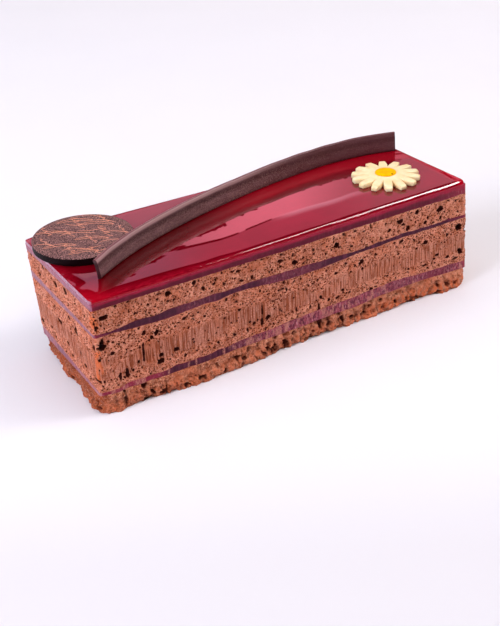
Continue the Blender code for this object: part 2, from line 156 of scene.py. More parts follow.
LEFT_BUBBLES = (
    (-6.0, 37.3, 1.6, 1.2), (2.5, 36.0, 1.4, 1.1), (12.3, 38.3, 1.0, 0.9), (17.5, 33.8, 1.4, 1.0),
    (-20.8, 35.2, 0.8, 0.6), (-7.5, 33.3, 1.0, 0.6), (9.4, 38.4, 0.7, 0.5), (-11.0, 24.5, 1.5, 1.5),
    (4.3, 21.2, 1.7, 1.0), (-19.4, 22.3, 1.0, 0.6), (-5.8, 27.2, 0.9, 0.6), (-6.0, 23.3, 0.7, 0.6),
    (-6.3, 21.5, 0.8, 0.7), (-12.5, 16.7, 0.9, 0.9), (-1.0, 14.8, 1.0, 0.8), (-15.3, 13.6, 1.0, 0.8),
    (11.8, 11.3, 1.1, 1.1), (14.5, 13.9, 1.0, 0.7), (-20.0, 11.2, 0.9, 0.6), (18.3, 14.8, 0.8, 0.6),
    (24.5, 12.0, 1.1, 1.2), (21.5, 12.0, 1.0, 1.0), (-24.8, 12.8, 1.8, 0.6), (-16.0, 31.8, 0.7, 0.5),
    (-3.0, 11.5, 0.8, 0.5), (7.5, 25.0, 0.9, 0.5), (22.5, 38.3, 1.0, 0.7),
)
# Caves and gashes in the base, in the same way.
BASE_CAVES = (
    (-67.5, 3.8, 0.6, 3.0), (-61.0, 6.0, 1.3, 1.1), (-58.0, 2.8, 1.0, 1.2), (-54.5, 1.2, 1.8, 0.9),
    (-49.5, 3.0, 0.5, 1.6), (-40.0, 2.2, 2.3, 0.6), (-45.5, 1.5, 1.0, 0.7), (-31.0, 1.6, 1.6, 0.8),
    (-25.0, 4.5, 1.7, 0.7), (-22.5, 2.8, 1.2, 0.6), (-13.0, 3.5, 1.0, 0.9), (-10.5, 2.5, 1.2, 0.8),
    (-9.5, 6.0, 0.7, 0.6), (-5.2, 2.8, 1.5, 0.8), (2.3, 3.0, 1.0, 0.8), (6.7, 2.8, 1.0, 0.6),
    (9.2, 4.8, 0.9, 2.4), (19.0, 4.0, 0.9, 1.8), (22.8, 3.2, 1.1, 0.9), (31.0, 5.2, 1.1, 0.9),
    (29.0, 2.8, 1.0, 0.8), (36.0, 6.0, 0.6, 0.5), (42.5, 6.0, 0.9, 0.8), (43.0, 2.4, 0.7, 1.0),
    (48.0, 2.5, 0.7, 1.0), (52.0, 1.4, 1.6, 0.6), (56.0, 6.2, 0.6, 0.4), (62.5, 3.5, 1.0, 0.9),
    (66.0, 2.9, 1.0, 0.8), (70.5, 2.7, 1.0, 0.7), (63.5, 1.0, 2.0, 0.5),
)
LEFT_CAVES = (
    (-24.5, 1.6, 1.0, 0.7), (-17.0, 5.2, 0.7, 0.9), (-10.5, 1.4, 0.9, 0.6), (-3.0, 6.2, 0.7, 0.7),
    (4.5, 4.2, 0.9, 0.9), (11.5, 5.6, 0.7, 0.7), (20.5, 4.6, 0.9, 1.1), (23.5, 1.8, 1.0, 0.8),
    (-13.0, 3.3, 1.9, 0.9), (0.0, 1.5, 2.0, 0.9), (15.8, 2.0, 2.0, 1.2), (-23.0, 3.2, 0.6, 1.8),
    (-19.5, 2.6, 0.6, 1.6), (-8.0, 4.8, 0.9, 1.2), (8.5, 2.8, 0.8, 1.5), (-5.5, 2.4, 0.9, 0.8),
)
# The gashes on the near corner, as (x, y, height, half width, half height, depth).
NOTCHES = (
    (-74.0, -26.9, 25.2, 1.2, 1.1, 2.6), (-73.6, -26.9, 26.6, 0.8, 1.7, 2.4),
    (-73.0, -26.9, 25.4, 0.8, 0.7, 1.8), (-76.4, -25.4, 25.0, 1.0, 1.3, 1.8),
    (-76.6, -25.6, 12.8, 1.0, 0.7, 1.6),
)
# What the sizes in the tables of bubbles and of caves are multiplied by.
KNOWN_SCALE, CAVE_SCALE = 1.06, 0.85
# Random bubbles as (how many to a square millimetre, least and greatest radius). Where the bubbles are known,
# the scattered ones stay small.
BUBBLE_KINDS = ((0.42, 0.2, 0.29), (0.06, 0.3, 0.44), (0.005, 0.5, 0.85))
LARGE_BUBBLE = 0.5
# A bubble's depth: so much, and so many times the smaller of its half width and half height.
BUBBLE_DEPTH = (0.1, 1.5)
# The knife has drawn down the middle of a layer that is thicker than this.
THICK_LAYER = 12.0
# From one upright rib of the base to the next.
RIB_SPACING = 3.0
# How far a cut layer's side swells slowly out and in, and over what length.
SWELL, SWELL_SIZE = 0.15, 14.0
# A layer's lids are its outline made this much smaller.
LID_SCALE = 0.94

# How finely each kind of wall is made: columns on the front, right, back and left, and at a corner.
MOUSSE_COLUMNS = ((680, 130, 330, 230), 10)
JELLY_COLUMNS = ((460, 130, 240, 130), 8)
BASE_COLUMNS = ((600, 170, 340, 210), 22)
GLAZE_COLUMNS = ((300, 104, 300, 104), 12)
BASE_ROWS = 40


def rgb(red, green, blue):
    """A colour from 0 to 255 as the linear values that shaders take."""
    values = np.array((red, green, blue)) / 255.0
    linear = np.where(values <= 0.04045, values / 12.92, ((values + 0.055) / 1.055) ** 2.4)
    return (*linear.tolist(), 1.0)


def smooth(t):
    """Eases from 0 to 1 as t does."""
    t = np.clip(t, 0.0, 1.0)
    return t * t * (3.0 - 2.0 * t)


def ramp(value, start, stop):
    """Eases from 0 to 1 as the value goes from start to stop, which may be the lower one."""
    return smooth((value - start) / (stop - start))


def quarter_turn(steps):
    """The sine and cosine after each step of a quarter turn."""
    turns = np.arange(1, steps + 1) / steps * pi / 2
    return list(zip(np.sin(turns), np.cos(turns)))


# Noise, all of it fixed by its seed.


def hashed(cells, seed):
    """A number from 0 to 1 for each row of whole numbers."""
    h = cells[..., 0] * 374761393 + cells[..., 1] * 668265263 + cells[..., 2] * 1440662683 + seed * 1274126177
    h = (h ^ (h >> 13)) * 1103515245 & 0xFFFFFFFF
    h = (h ^ (h >> 16)) * 2654435769 & 0xFFFFFFFF
    return (h ^ (h >> 15)) / 4294967296.0


def noise(points, size, seed=0):
    """Smooth noise from -1 to 1. size is one length, or one for each axis."""
    p = points / np.asarray(size, float)
    cell = np.floor(p).astype(np.int64)
    t = smooth(p - cell)
    total = 0.0
    for corner in np.ndindex(2, 2, 2):
        weight = np.prod(np.where(np.array(corner) == 1, t, 1.0 - t), axis=-1)
        total = total + weight * hashed(cell + np.array(corner), seed)
    return total * 2.0 - 1.0


def layered(points, size, octaves, seed=0):
    """Noise at several sizes, each half the last."""
    size = np.asarray(size, float)
    total, share = 0.0, 0.0
    for k in range(octaves):
        total = total + noise(points, size / 2**k, seed + 17 * k) / 2**k
        share += 0.5**k
    return total / share


def grains(points, size, seed=0):
    """The distance to the nearest of scattered points, one to a cell of this size: 0 at the point."""
    p = points / np.asarray(size, float)
    cell = np.floor(p).astype(np.int64)
    nearest = np.full(p.shape[:-1], 9.0)
    for step in np.ndindex(3, 3, 3):
        there = cell + np.array(step) - 1
        spot = there + np.stack([hashed(there, seed + k) for k in range(3)], axis=-1)
        nearest = np.minimum(nearest, np.linalg.norm(p - spot, axis=-1))
    return nearest


# The layers' plan and the surfaces between them.


class Outline:
    """Columns round the bar. Each keeps its foot, its top, its side, its distance round and its normal."""

    def __init__(self, radii, counts, arc):
        middle = (FOOT_CORNERS + TOP_CORNERS) / 2
        unit = np.eye(4)
        rows, sides = [], []
        for i in range(4):
            j = (i + 1) % 4
            before = np.linalg.norm(middle[i - 1] - middle[i])
            after = np.linalg.norm(middle[j] - middle[i])
            start = unit[i] + (unit[i - 1] - unit[i]) * radii[i] / before
            end = unit[i] + (unit[j] - unit[i]) * radii[i] / after
            stop = unit[j] + (unit[i] - unit[j]) * radii[j] / after
            for t in np.arange(arc + 1) / arc:
                rows.append(start * (1 - t) ** 2 + unit[i] * 2 * t * (1 - t) + end * t**2)
                sides.append((i - 1) % 4 if t < 0.5 else i)
            for k in range(1, counts[i]):
                rows.append(end + (stop - end) * k / counts[i])
                sides.append(i)
        weights = np.array(rows)
        self.side = np.array(sides)
        self.foot = weights @ FOOT_CORNERS
        self.top = weights @ TOP_CORNERS
        self.plan = weights @ middle
        following = np.roll(self.plan, -1, axis=0)
        steps = np.linalg.norm(following - self.plan, axis=1)
        self.around = np.concatenate([[0.0], np.cumsum(steps)[:-1]])
        along = following - np.roll(self.plan, 1, axis=0)
        along /= np.linalg.norm(along, axis=1)[:, None]
        self.normal = np.stack([along[:, 1], -along[:, 0]], axis=1)

    def at(self, z):
        """The plan at heights given as rows of one for each column."""
        t = (z / HEIGHT)[..., None]
        return self.foot * (1 - t) + self.top * t

    def facing(self, axis, start=0.0, stop=2 / 3):
        """How far each column faces the left end (axis 0) or the front (axis 1), from 0 to 1."""
        return ramp(-self.normal[:, axis], start, stop)

    def around_of(self, side, where):
        """How far round lies a place on the front, given by its x, or on the left, given by its y."""
        on_side = self.side == side
        places = self.plan[on_side, 0 if side == FRONT else 1]
        order = np.argsort(places)
        return np.interp(where, places[order], self.around[on_side][order])


def through(knots, x, column):
    """The curve through a column of the knots."""
    table = np.array(knots, float)
    place = np.interp(x, table[:, 0], np.arange(len(table)))
    k = np.minimum(place.astype(int), len(table) - 2)
    t = smooth(place - k) * 0.6 + (place - k) * 0.4
    return table[k, column] * (1 - t) + table[k + 1, column] * t


def share_along(x):
    """How far along the bar a place lies, from 0 at the left end to 1 at the right."""
    return (x + HALF_LENGTH) / (2 * HALF_LENGTH)


def band_edge(knots, rise, column, plan):
    """The height of a band's lower (column 1) or upper (column 2) edge at points of the plan."""
    x, y = plan[:, 0], plan[:, 1]
    depth = (y - FRONT_Y) / (BACK_Y - FRONT_Y)
    front = through(knots, x, column)
    back = through(knots, -x, column)
    where = np.column_stack([plan, np.full(len(plan), float(column))])
    wobble = BAND_WOBBLE * (layered(where, 2.2, 2, seed=71) + 0.5 * noise(where, 9.0, seed=72))
    left, right = rise[column - 1]
    rises = (left + (right - left) * share_along(x)) * depth
    return front + (back - front) * smooth(depth) + rises + wobble


def top_jelly_edge(plan):
    """The height of the surface below the top jelly."""
    where = np.column_stack([plan, np.zeros(len(plan))])
    low, high = TOP_JELLY_BOTTOM
    return low + (high - low) * share_along(plan[:, 0]) + 0.16 * layered(where, 5.0, 2, seed=73)


def glaze_foot(plan):
    """The height of the surface below the glaze."""
    return np.full(len(plan), GLAZE_BOTTOM)


# Meshes.


def new_object(name, data):
    """A new object in the scene."""
    obj = bpy.data.objects.new(name, data)
    bpy.context.scene.collection.objects.link(obj)
    return obj


def make_mesh(name, points, faces, maps, materials, face_materials=None):
    """An object from points in millimetres, smooth shaded, with maps: a number for each point."""
    data = bpy.data.meshes.new(name)
    data.from_pydata((points.reshape(-1, 3) * MM).tolist(), [], faces)
    data.shade_smooth()
    for key, values in maps.items():
        layer = data.attributes.new(key, "FLOAT", "POINT")
        layer.data.foreach_set("value", np.asarray(values, np.float32).reshape(-1))
    for material in materials:
        data.materials.append(material)
    if face_materials is not None:
        data.polygons.foreach_set("material_index", np.asarray(face_materials, np.int32))
    return new_object(name, data)


def tube_faces(rows, columns):
    """The faces of a wall of rows of points, closed round, and last its lower and its upper lid."""
    low = np.arange(columns)
    after = np.roll(low, -1)
    faces = []
    for row in range(rows - 1):
        first = row * columns
        corners = [low, after, after + columns, low + columns]
        faces += (np.stack(corners, axis=1) + first).tolist()
    return faces + [low[::-1].tolist(), (low + (rows - 1) * columns).tolist()]


def grid_faces(index):
    """The faces of a grid of points, from the points' numbers."""
    corners = [index[:-1, :-1], index[:-1, 1:], index[1:, 1:], index[1:, :-1]]
    return np.stack(corners, axis=-1).reshape(-1, 4).tolist()


def place(obj, slot, *nodes):
    """Puts a piece on the one body, in place of its CAD nodes. The slot is not used."""
    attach(obj, "root")
    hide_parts(*nodes)


class Wall:
    """A layer's side: rows of points round an outline, between a lower and an upper edge."""

    def __init__(self, outline, low, high, rows):
        self.outline, self.low, self.high = outline, low, high
        self.thickness = float(np.mean(high - low))
        self.share = np.linspace(0, 1, rows)[:, None]
        self.z = low + (high - low) * self.share
        self.pit = np.zeros_like(self.z)
        self.ragged = np.zeros_like(self.z)
        self.points = self.standing_out(self.pit)
        self.x, self.y = self.points[..., 0], self.points[..., 1]

    def standing_out(self, out):
        """The points, when each stands out this far."""
        plan = self.outline.at(self.z) + self.outline.normal * out[..., None]
        return np.concatenate([plan, self.z[..., None]], axis=-1)

    def press(self, around, height, half_width, half_height):
        """Sinks one bubble into the pit map: a steep-sided bowl with an uneven rim."""
        columns = np.flatnonzero(np.abs(self.outline.around - around) < half_width * 1.35)
        across = (self.outline.around[columns] - around) / half_width
        up = (self.z[:, columns] - height) / half_height
        reach = np.sqrt(across**2 + up**2) * (1.0 + self.ragged[:, columns])
        bowl = np.sqrt(np.clip(1.0 - reach**2, 0.0, 1.0)) ** 0.7
        least, more = BUBBLE_DEPTH
        deep = least + more * min(half_width, half_height)
        self.pit[:, columns] = np.maximum(self.pit[:, columns], deep * bowl)

    def press_known(self, front, left, scale):
        """Sinks the bubbles known on the front and on the left."""
        for side, bubbles in ((FRONT, front), (LEFT, left)):
            for where, height, half_width, half_height in bubbles:
                around = self.outline.around_of(side, where)
                self.press(around, height, half_width * scale, half_height * scale)

    def press_scattered(self, drag):
        """Sinks random bubbles, few of them where the knife dragged."""
        outline = self.outline
        total = outline.around[-1]
        area = total * self.thickness
        for density, least, most in BUBBLE_KINDS:
            for _ in range(int(density * area)):
                around = RNG.uniform(0, total)
                column = int(np.searchsorted(outline.around, around)) - 1
                row = RNG.uniform(0.02, 0.98)
                radius = RNG.uniform(least, most)
                tall = RNG.uniform(0.7, 1.2)
                skipped = RNG.uniform() < 0.85 * drag[int(row * (len(drag) - 1)), column]
                known = outline.side[column] in (FRONT, LEFT) and radius > LARGE_BUBBLE
                if not (skipped or known):
                    height = self.low[column] + (self.high[column] - self.low[column]) * row
                    self.press(around, height, radius, radius * tall)

    def press_notches(self, seed):
        """Sinks the gashes at the near corner."""
        rough = 1.0 + 0.35 * noise(self.points, 0.9, seed)
        for x, y, height, half_width, half_height, deep in NOTCHES:
            offsets = ((self.x - x) / half_width, (self.y - y) / half_width, (self.z - height) / half_height)
            spot = np.sqrt(sum(offset**2 for offset in offsets)) * rough
            self.pit = np.maximum(self.pit, deep * np.clip(1.0 - spot, 0.0, 1.0) ** 0.5)

    def solid(self, name, out, maps, material):
        """The layer's mesh: its wall, a ledge that leads in at both ends, and a flat lid on each."""
        wall = self.standing_out(out)
        ends = []
        for ledge in (wall[0].copy(), wall[-1].copy()):
            ledge[:, :2] = self.outline.plan * LID_SCALE
            ledge[:, 2] = ledge[:, 2].mean()
            ends.append(ledge[None])
        points = np.concatenate([ends[0], wall, ends[1]])
        padded = {}
        for key, values in maps.items():
            padded[key] = np.pad(np.broadcast_to(values, self.z.shape), ((1, 1), (0, 0)), "edge")
        return make_mesh(name, points, tube_faces(*points.shape[:2]), padded, [material])


# The layers.


def mousse(name, low_edge, high_edge, rows, seed, material):
    """A mousse layer, full of bubbles. The knife has drawn down the middle of a thick one."""
    outline = Outline(LAYER_RADII, *MOUSSE_COLUMNS)
    wall = Wall(outline, low_edge(outline.plan), high_edge(outline.plan), rows)
    base, share, x, height = wall.points, wall.share, wall.x, wall.z
    fields = layered(base, (9.0, 9.0, 5.0), 2, seed + 2)
    if wall.thickness > THICK_LAYER:
        drag = ramp(share, 0.2, 0.3) * ramp(share, 0.7, 0.56) * ramp(fields, -0.6, -0.1)
    else:
        drag = 0.35 * ramp(fields, 0.1, 0.5)

    wall.ragged = 0.3 * noise(base, 0.7, seed + 1)
    wall.press_scattered(drag)
    wall.press_known(FRONT_BUBBLES, LEFT_BUBBLES, KNOWN_SCALE)
    wall.press_notches(seed + 3)

    streaks = noise(base, (0.75, 0.75, 9.0), seed + 4) + 0.5 * noise(base, (2.4, 2.4, 6.0), seed + 5)
    rough = layered(base, 1.5, 3, seed + 7)
    foam = 0.42 * rough - 0.35 * grains(base, 0.9, seed + 6) + 0.2
    strong = 0.2 + 0.14 * ramp(x, -45.0, -60.0) * outline.facing(1)
    dragged = strong * streaks + 0.25 * foam - 0.08
    out = SWELL * noise(base, SWELL_SIZE, seed + 8) + (1 - drag) * foam + drag * dragged
    edges = ramp(share, 0.0, 0.06) * ramp(share, 1.0, 0.94)
    out = out * (0.35 + 0.65 * edges) - wall.pit * (0.3 + 0.7 * edges)

    # Painted glow: light got in at the near corner, at some heights, and is painted there in orange.
    corner = np.hypot(x - NEAR_CORNER[0], wall.y - NEAR_CORNER[1])
    lit = ramp(height, 11.5, 13.0) * ramp(height, 25.0, 23.5) + ramp(height, 30.5, 31.5)
    glow = lit * ramp(corner - 1.7 * noise(base, (1.2, 1.2, 1.8), seed + 9), 1.7, 0.6)
    maps = {
        # Painted shade: pits are darkened by their depth, a little less on the left end.
        "cavity_shade": wall.pit * (1.0 - 0.2 * outline.facing(0)),
        "drag": drag,
        # Painted shade: raised foam is painted lighter and sunken foam darker, and the foam is lighter
        # towards the right end.
        "relief_shade": (1 - drag) * rough + 0.3 * ramp(x, -10.0, 60.0),
        "glow": glow,
    }
    return wall.solid(name, out, maps, material)


def look_along(table, where):
    """How pale, how red and how covered a band is at places along a table."""
    rows = np.array(table, float)
    return [np.interp(where, rows[:, 0], rows[:, k]) for k in (1, 2, 3)]


def jelly(name, low_edge, high_edge, rows, seed, material, look, end_look, glowing=0.0):
    """A berry jelly band: smooth, pale or red in places, with mousse that the knife dragged over it."""
    outline = Outline(LAYER_RADII, *JELLY_COLUMNS)
    wall = Wall(outline, low_edge(outline.plan), high_edge(outline.plan), rows)
    base = wall.points
    streaks = noise(base, (0.6, 0.6, 9.0), seed) + 0.5 * noise(base, (1.5, 1.5, 9.0), seed + 1)
    patches = layered(base, (1.6, 1.6, 4.0), 2, seed + 2) + 0.35 * noise(base, (0.6, 0.6, 3.0), seed + 3)
    on_front, end = outline.facing(1, 0.3, 0.7), outline.facing(0, 0.3, 0.7)
    looks = zip(look_along(look, outline.plan[:, 0]), look_along(end_look, outline.plan[:, 1]), PLAIN_LOOK)
    pale, red, cover = (
        front * on_front + left * end + plain * (1 - on_front - end) for front, left, plain in looks
    )
    smear = ramp(patches + cover, 0.55, 0.9) * (cover > 0)
    maps = {
        "smear": smear,
        "edge": ramp(np.minimum(wall.share, 1 - wall.share), 0.25, 0.0),
        "streak": streaks,
        "pale": pale,
        "red": red,
        # Painted sheen: the end map veils the bar's end in pale mauve.
        "end": end,
        "glow": ramp(wall.share + 0.12 * noise(base, (3.0, 3.0, 1.0), seed + 4), 0.5, 0.95) * glowing,
    }
    out = SWELL * noise(base, SWELL_SIZE, 108) + 0.05 * streaks + 0.14 * smear
    return wall.solid(name, out, maps, material)


def base_forms(around, base, share):
    """What breaks up the base: its ribs, ridges, lumps, crumbs, grit, cracks and hollows."""
    shift = 1.1 * noise(base, (7.0, 7.0, 6.0), 209) + 0.25 * noise(base, 2.0, 210)
    ribs = np.abs(np.sin(pi * (around / RIB_SPACING + shift))) ** 0.7
    ridges = noise(base, (1.75, 1.75, 11.0), 201) + 0.5 * noise(base, (3.6, 3.6, 7.0), 207)
    lumps = layered(base, (2.2, 2.2, 1.8), 2, 202)
    crumbs = 0.6 - grains(base, 1.2, 203)
    grit = 0.5 - grains(base, 0.65, 205)
    cracks = ramp(np.abs(noise(base, (2.2, 2.2, 5.0), 204)), 0.14, 0.0)
    cracks = cracks * ramp(noise(base, (7.0, 7.0, 5.0), 206), -0.1, 0.3) * ramp(share, 1.0, 0.7)
    shallower = 1.0 - 0.6 * ramp(base[..., 0], 72.0, 75.0)
    hollows = ramp(grains(base, (2.9, 2.9, 2.6), 211), 0.6, 0.26) * shallower
    return ribs, ridges, lumps, crumbs, grit, cracks, hollows


def base_layer(material):
    """The crumbly base: broken rather than cut, with lumps, ridges and deep crevices."""
    outline = Outline(BASE_RADII, *BASE_COLUMNS)
    wall = Wall(outline, 0.0, band_edge(LOWER_BAND, LOWER_BACK_RISE, 1, outline.plan), BASE_ROWS)
    base, share, x = wall.points, wall.share, wall.x
    on_left = outline.facing(0)
    on_right = ramp(x, 5.0, 55.0)
    calm = ramp(share, 1.02, 0.88)

    wall.ragged = 0.8 * noise(base, 1.1, 208)
    wall.press_known(BASE_CAVES, LEFT_CAVES, CAVE_SCALE)
    ribs, ridges, lumps, crumbs, grit, cracks, hollows = base_forms(outline.around, base, share)
    ridged = (0.35 + 0.65 * ramp(x, -32.0, -18.0)) * (1.0 - 0.85 * on_left)
    broken = (
        ridged * (0.5 * (ribs - 0.62) + 0.4 * ridges - 0.8 * hollows)
        + (1.05 - 0.1 * ridged - 0.5 * on_left) * lumps
        + 1.6 * (1.0 - ridged) * layered(base, (5.0, 5.0, 3.4), 2, 213)
        + 0.65 * crumbs + 0.5 * grit - 0.5 * cracks
    )
    broken = broken * (1.0 - 0.5 * ramp(x, 71.0, 74.0))
    foot = through(FOOT_LINE, outline.plan[:, 0], 1) * ramp(outline.plan[:, 1], -10.0, -20.0)
    tuck = 0.5 * ramp(share, 0.14, 0.0)
    out = foot * (1 - 0.75 * share) + 0.3 + calm * broken - tuck - 0.35 * (1 - calm)
    out = out - 1.2 * np.minimum(wall.pit, 1.5)

    # Painted shade: pits, valleys, hollows and cracks are darkened, and the colour is darker towards the
    # foot.
    valley = np.clip(ridged * (1.0 - ribs / 0.6), 0, 1) + np.clip(-1.2 * lumps - 0.3, 0, 1)
    cavity_shade = 0.4 * wall.pit + calm * (0.2 * valley + 0.21 * ridged * hollows)
    cavity_shade = cavity_shade + 0.1 * cracks + 0.1 * ramp(share, 0.25, 0.0)
    # Painted shade and highlight: crumbs, grit and rib tops lighter, hollows darker; lighter on the right,
    # darker on the left end.
    relief_shade = 0.7 * crumbs + 0.6 * grit + calm * ridged * (0.6 * ribs - 0.5 * hollows - 0.1)
    maps = {
        "cavity_shade": cavity_shade * (1.0 - 0.3 * on_right),
        "drag": 0.0,
        "relief_shade": relief_shade + 1.1 * on_right - 0.45 * on_left,
        # Painted glow: rib tops and crumbs low on the base are painted orange, more on the right.
        "glow": ramp(ribs + 0.8 * crumbs, 0.5, 1.1) * ramp(share, 0.8, 0.4) * (0.45 + 0.5 * on_right),
    }
    return wall.solid("crumbly_base", out, maps, material)


# The glaze.

# The curl's ends along the bar, the factors of the powers of x that give its foot's place across it, and
# how far its low end slants, over which length.
CURL_START, CURL_END = -67.7, 71.0
CURL_BOW = (11.21, 0.2258, -0.001582, -1.15e-6, -2.56e-7)
CURL_SLANT, SLANT_LENGTH = 0.9, 8.0

# The directions across and along the view, in the plan.
ACROSS_VIEW, ALONG_VIEW = (0.869, -0.494), (0.494, 0.869)

GLAZE_EDGE_STEPS = 8
# The glaze is painted brighter round its near corner: a painted glow.
GLAZE_CORNER = (-75.5, -26.5)
# Where the glaze ends on the right: at x = 74.4, a little further in for each millimetre towards the front.
GLAZE_END, GLAZE_END_SLOPE = 74.4, 0.04


def curl_line(x):
    """Where the foot of the curl's face lies across the bar."""
    return sum(factor * x**power for power, factor in enumerate(CURL_BOW))


def glaze_wall(outline, on_left):
    """The glaze's side and its rounded edge, as rows of points."""
    radius = (0.7 + 0.8 * share_along(outline.plan[:, 0])) * (1 - on_left) + 0.35 * on_left
    rings = [(0 * radius, GLAZE_BOTTOM + 0 * radius), (0 * radius, HEIGHT - radius)]
    rings += [(radius * (1 - c), HEIGHT - radius * (1 - s)) for s, c in quarter_turn(GLAZE_EDGE_STEPS)]
    rows = [np.column_stack([outline.at(z) - outline.normal * inset[:, None], z]) for inset, z in rings]
    return np.array(rows)


def spanned(front, right, back, left):
    """A grid of points that spans four edges, the first two and the last two from the same corners."""
    u = np.linspace(0, 1, len(front))[None, :, None]
    v = np.linspace(0, 1, len(right))[:, None, None]
    near = (1 - u) * front[0] + u * front[-1]
    far = (1 - u) * back[0] + u * back[-1]
    return (1 - v) * (front - near) + v * (back - far) + (1 - u) * left[:, None] + u * right[:, None]


def glaze_edges(flat):
    """How near points lie to the glaze's front, to its front or left edge, and to its other two edges.

    The last comes as the distance in from the back or the right end, and as how near that is.
    """
    x, y = flat[:, 0], flat[:, 1]
    from_front = y - np.interp(x, TOP_CORNERS[:2, 0], TOP_CORNERS[:2, 1])
    from_left = x - np.interp(y, TOP_CORNERS[[0, 3], 1], TOP_CORNERS[[0, 3], 0])
    inward = np.minimum(BACK_Y - y, GLAZE_END - x + GLAZE_END_SLOPE * y)
    uneven = 0.8 * noise(flat, (7.0, 5.0, 1.0), 304)
    reach = 1.8 + 2.6 * ramp(x, -12.0, -67.0)
    near_front = ramp(from_front + 0.2 * reach * uneven, reach, 0.0)
    near_left = ramp(from_left + uneven, 4.4, 0.0)
    near_edge = 1 - (1 - near_front) * (1 - near_left)
    return near_front, near_edge, inward, ramp(inward + 0.5 * uneven, 2.8, 0.0)


def glaze_relief(points):
    """Moves the glaze's top by its slow waves and its drooping edges, and returns the maps of its look."""
    x, y = points[:, 0], points[:, 1]
    flat = points * np.array((1.0, 1.0, 0.0))
    on_top = np.clip((points[:, 2] - GLAZE_BOTTOM) / (HEIGHT - GLAZE_BOTTOM), 0, 1)
    seen = flat @ np.array(((*ACROSS_VIEW, 0.0), (*ALONG_VIEW, 0.0), (0.0, 0.0, 1.0))).T

    # What lies before the curl mirrors it, up to a ragged edge.
    ahead = curl_line(x) - y
    ripple = ramp(ahead, 12.5, 8.5) * ramp(ahead, 1.0, 4.0) * 0.006 * noise(seen, (8.0, 2.0, 1.0), 303)
    ragged = ahead + 0.6 * noise(seen, (6.0, 1.1, 1.0), 307)
    mirrors_curl = ramp(ahead, -1.2, 0.0) * ramp(ragged, 9.7, 6.5)

    near_front, near_edge, inward, near_back = glaze_edges(flat)
    near_corner = ramp(np.hypot(x - GLAZE_CORNER[0], y - GLAZE_CORNER[1]), 15.0, 0.0)

    waves = 0.005 * noise(flat, (40.0, 20.0, 1.0), 301)
    hatch = 0.008 * near_front * noise(flat, (1.4, 9.0, 1.0), 306)
    points[:, 2] += on_top * (waves + ripple + hatch - 0.3 * near_edge - 0.14 * near_back)
    # Painted glow: brighter red near the back and right edges, before the curl and round the near corner.
    lit = (
        ramp(inward, 3.8, 0.0) * ramp(x, 10.0, 60.0),
        0.42 * mirrors_curl * ramp(x, -35.0, 10.0),
        0.7 * near_corner,
    )
    return {
        # Painted glow: the rim map paints the edges a brighter crimson.
        "rim": np.maximum(ramp(inward, 4.4, 0.0), near_edge),
        "rise": (points[:, 2] - GLAZE_BOTTOM) / (HEIGHT - GLAZE_BOTTOM),
        # Painted shade: the glaze before the curl's left part is painted darker.
        "deep": mirrors_curl * ramp(x, 14.0, -52.0) * ramp(x, -72.0, -62.0),
        "dotted": near_front * ramp(x, -62.0, -54.0) * ramp(x, -24.0, -32.0),
        "lit": np.maximum.reduce(lit),
    }


def glaze(material, side_material):
    """The mirror glaze: a gently uneven sheet, its edge rounded over."""
    outline = Outline(GLAZE_RADII, *GLAZE_COLUMNS)
    on_left = outline.facing(0, 0.3, 0.8)
    wall = glaze_wall(outline, on_left)
    rows, columns = wall.shape[:2]

    # The sheet inside the rim starts and ends each of its sides in the middle of a corner.
    counts, arc = GLAZE_COLUMNS
    lengths = [count + arc for count in counts]
    starts = arc // 2 + np.cumsum([0] + lengths[:3])
    front, right, back, left = (np.arange(s, s + n + 1) % columns for s, n in zip(starts, lengths))
    edges = (front, right, back[::-1], left[::-1])
    inner = spanned(*(wall[-1][edge] for edge in edges))[1:-1, 1:-1]
    points = np.concatenate([wall.reshape(-1, 3), inner.reshape(-1, 3)])
    index = np.zeros((len(right), len(front)), int)
    index[1:-1, 1:-1] = rows * columns + np.arange(inner[..., 0].size).reshape(inner.shape[:2])
    index[0], index[:, -1], index[-1], index[:, 0] = ((rows - 1) * columns + edge for edge in edges)

    *wall_faces, foot, _ = tube_faces(rows, columns)
    faces = wall_faces + grid_faces(index) + [foot]
    # The cut side's look covers the lowest rows, more of them on the left end.
    side_rows = np.where(on_left > 0.5, 5, 2)
    kinds = np.zeros(len(faces), int)
    kinds[: len(wall_faces)] = (np.arange(rows - 1)[:, None] < side_rows).reshape(-1)

    maps = glaze_relief(points)
    # The end map places the glaze side's pale painted sheen on the bar's end.
    maps["end"] = np.zeros(len(points))
    maps["end"][: rows * columns] = np.tile(outline.facing(0, 0.5, 0.9), rows)
    return make_mesh("glaze_sheet", points, faces, maps, [material, side_material], kinds)


# The toppings.

CURL_HEIGHTS = (7.4, 7.6)
CURL_THICKNESS = 1.2
CURL_COLUMNS, CURL_ROWS, CURL_ROUND_STEPS = 420, 26, 5
# The part of the curl's height at which its rounded edges begin.
CURL_ROUND = 0.05
# The curl's face, as (share of the height, how far it lies back).
CURL_FACE = ((0.0, 0.0), (0.12, -0.12), (0.3, -0.1), (0.5, 0.06), (0.68, 0.14), (0.84, 0.3), (1.0, 0.55))

DISC_CENTRE = (-60.5, 11.8)
DISC_RADIUS, DISC_THICKNESS, DISC_EDGE = 17.2, 2.8, 0.3
DISC_SIDES = 220
# How far the print keeps from the disc's rim, how high it stands, and how wide each kind of stroke is.
PRINT_MARGIN, PRINT_HEIGHT = 0.45, 0.05
ZIGZAG_WIDTH, LOOP_WIDTH, ARC_WIDTH = 0.16, 0.18, 0.2


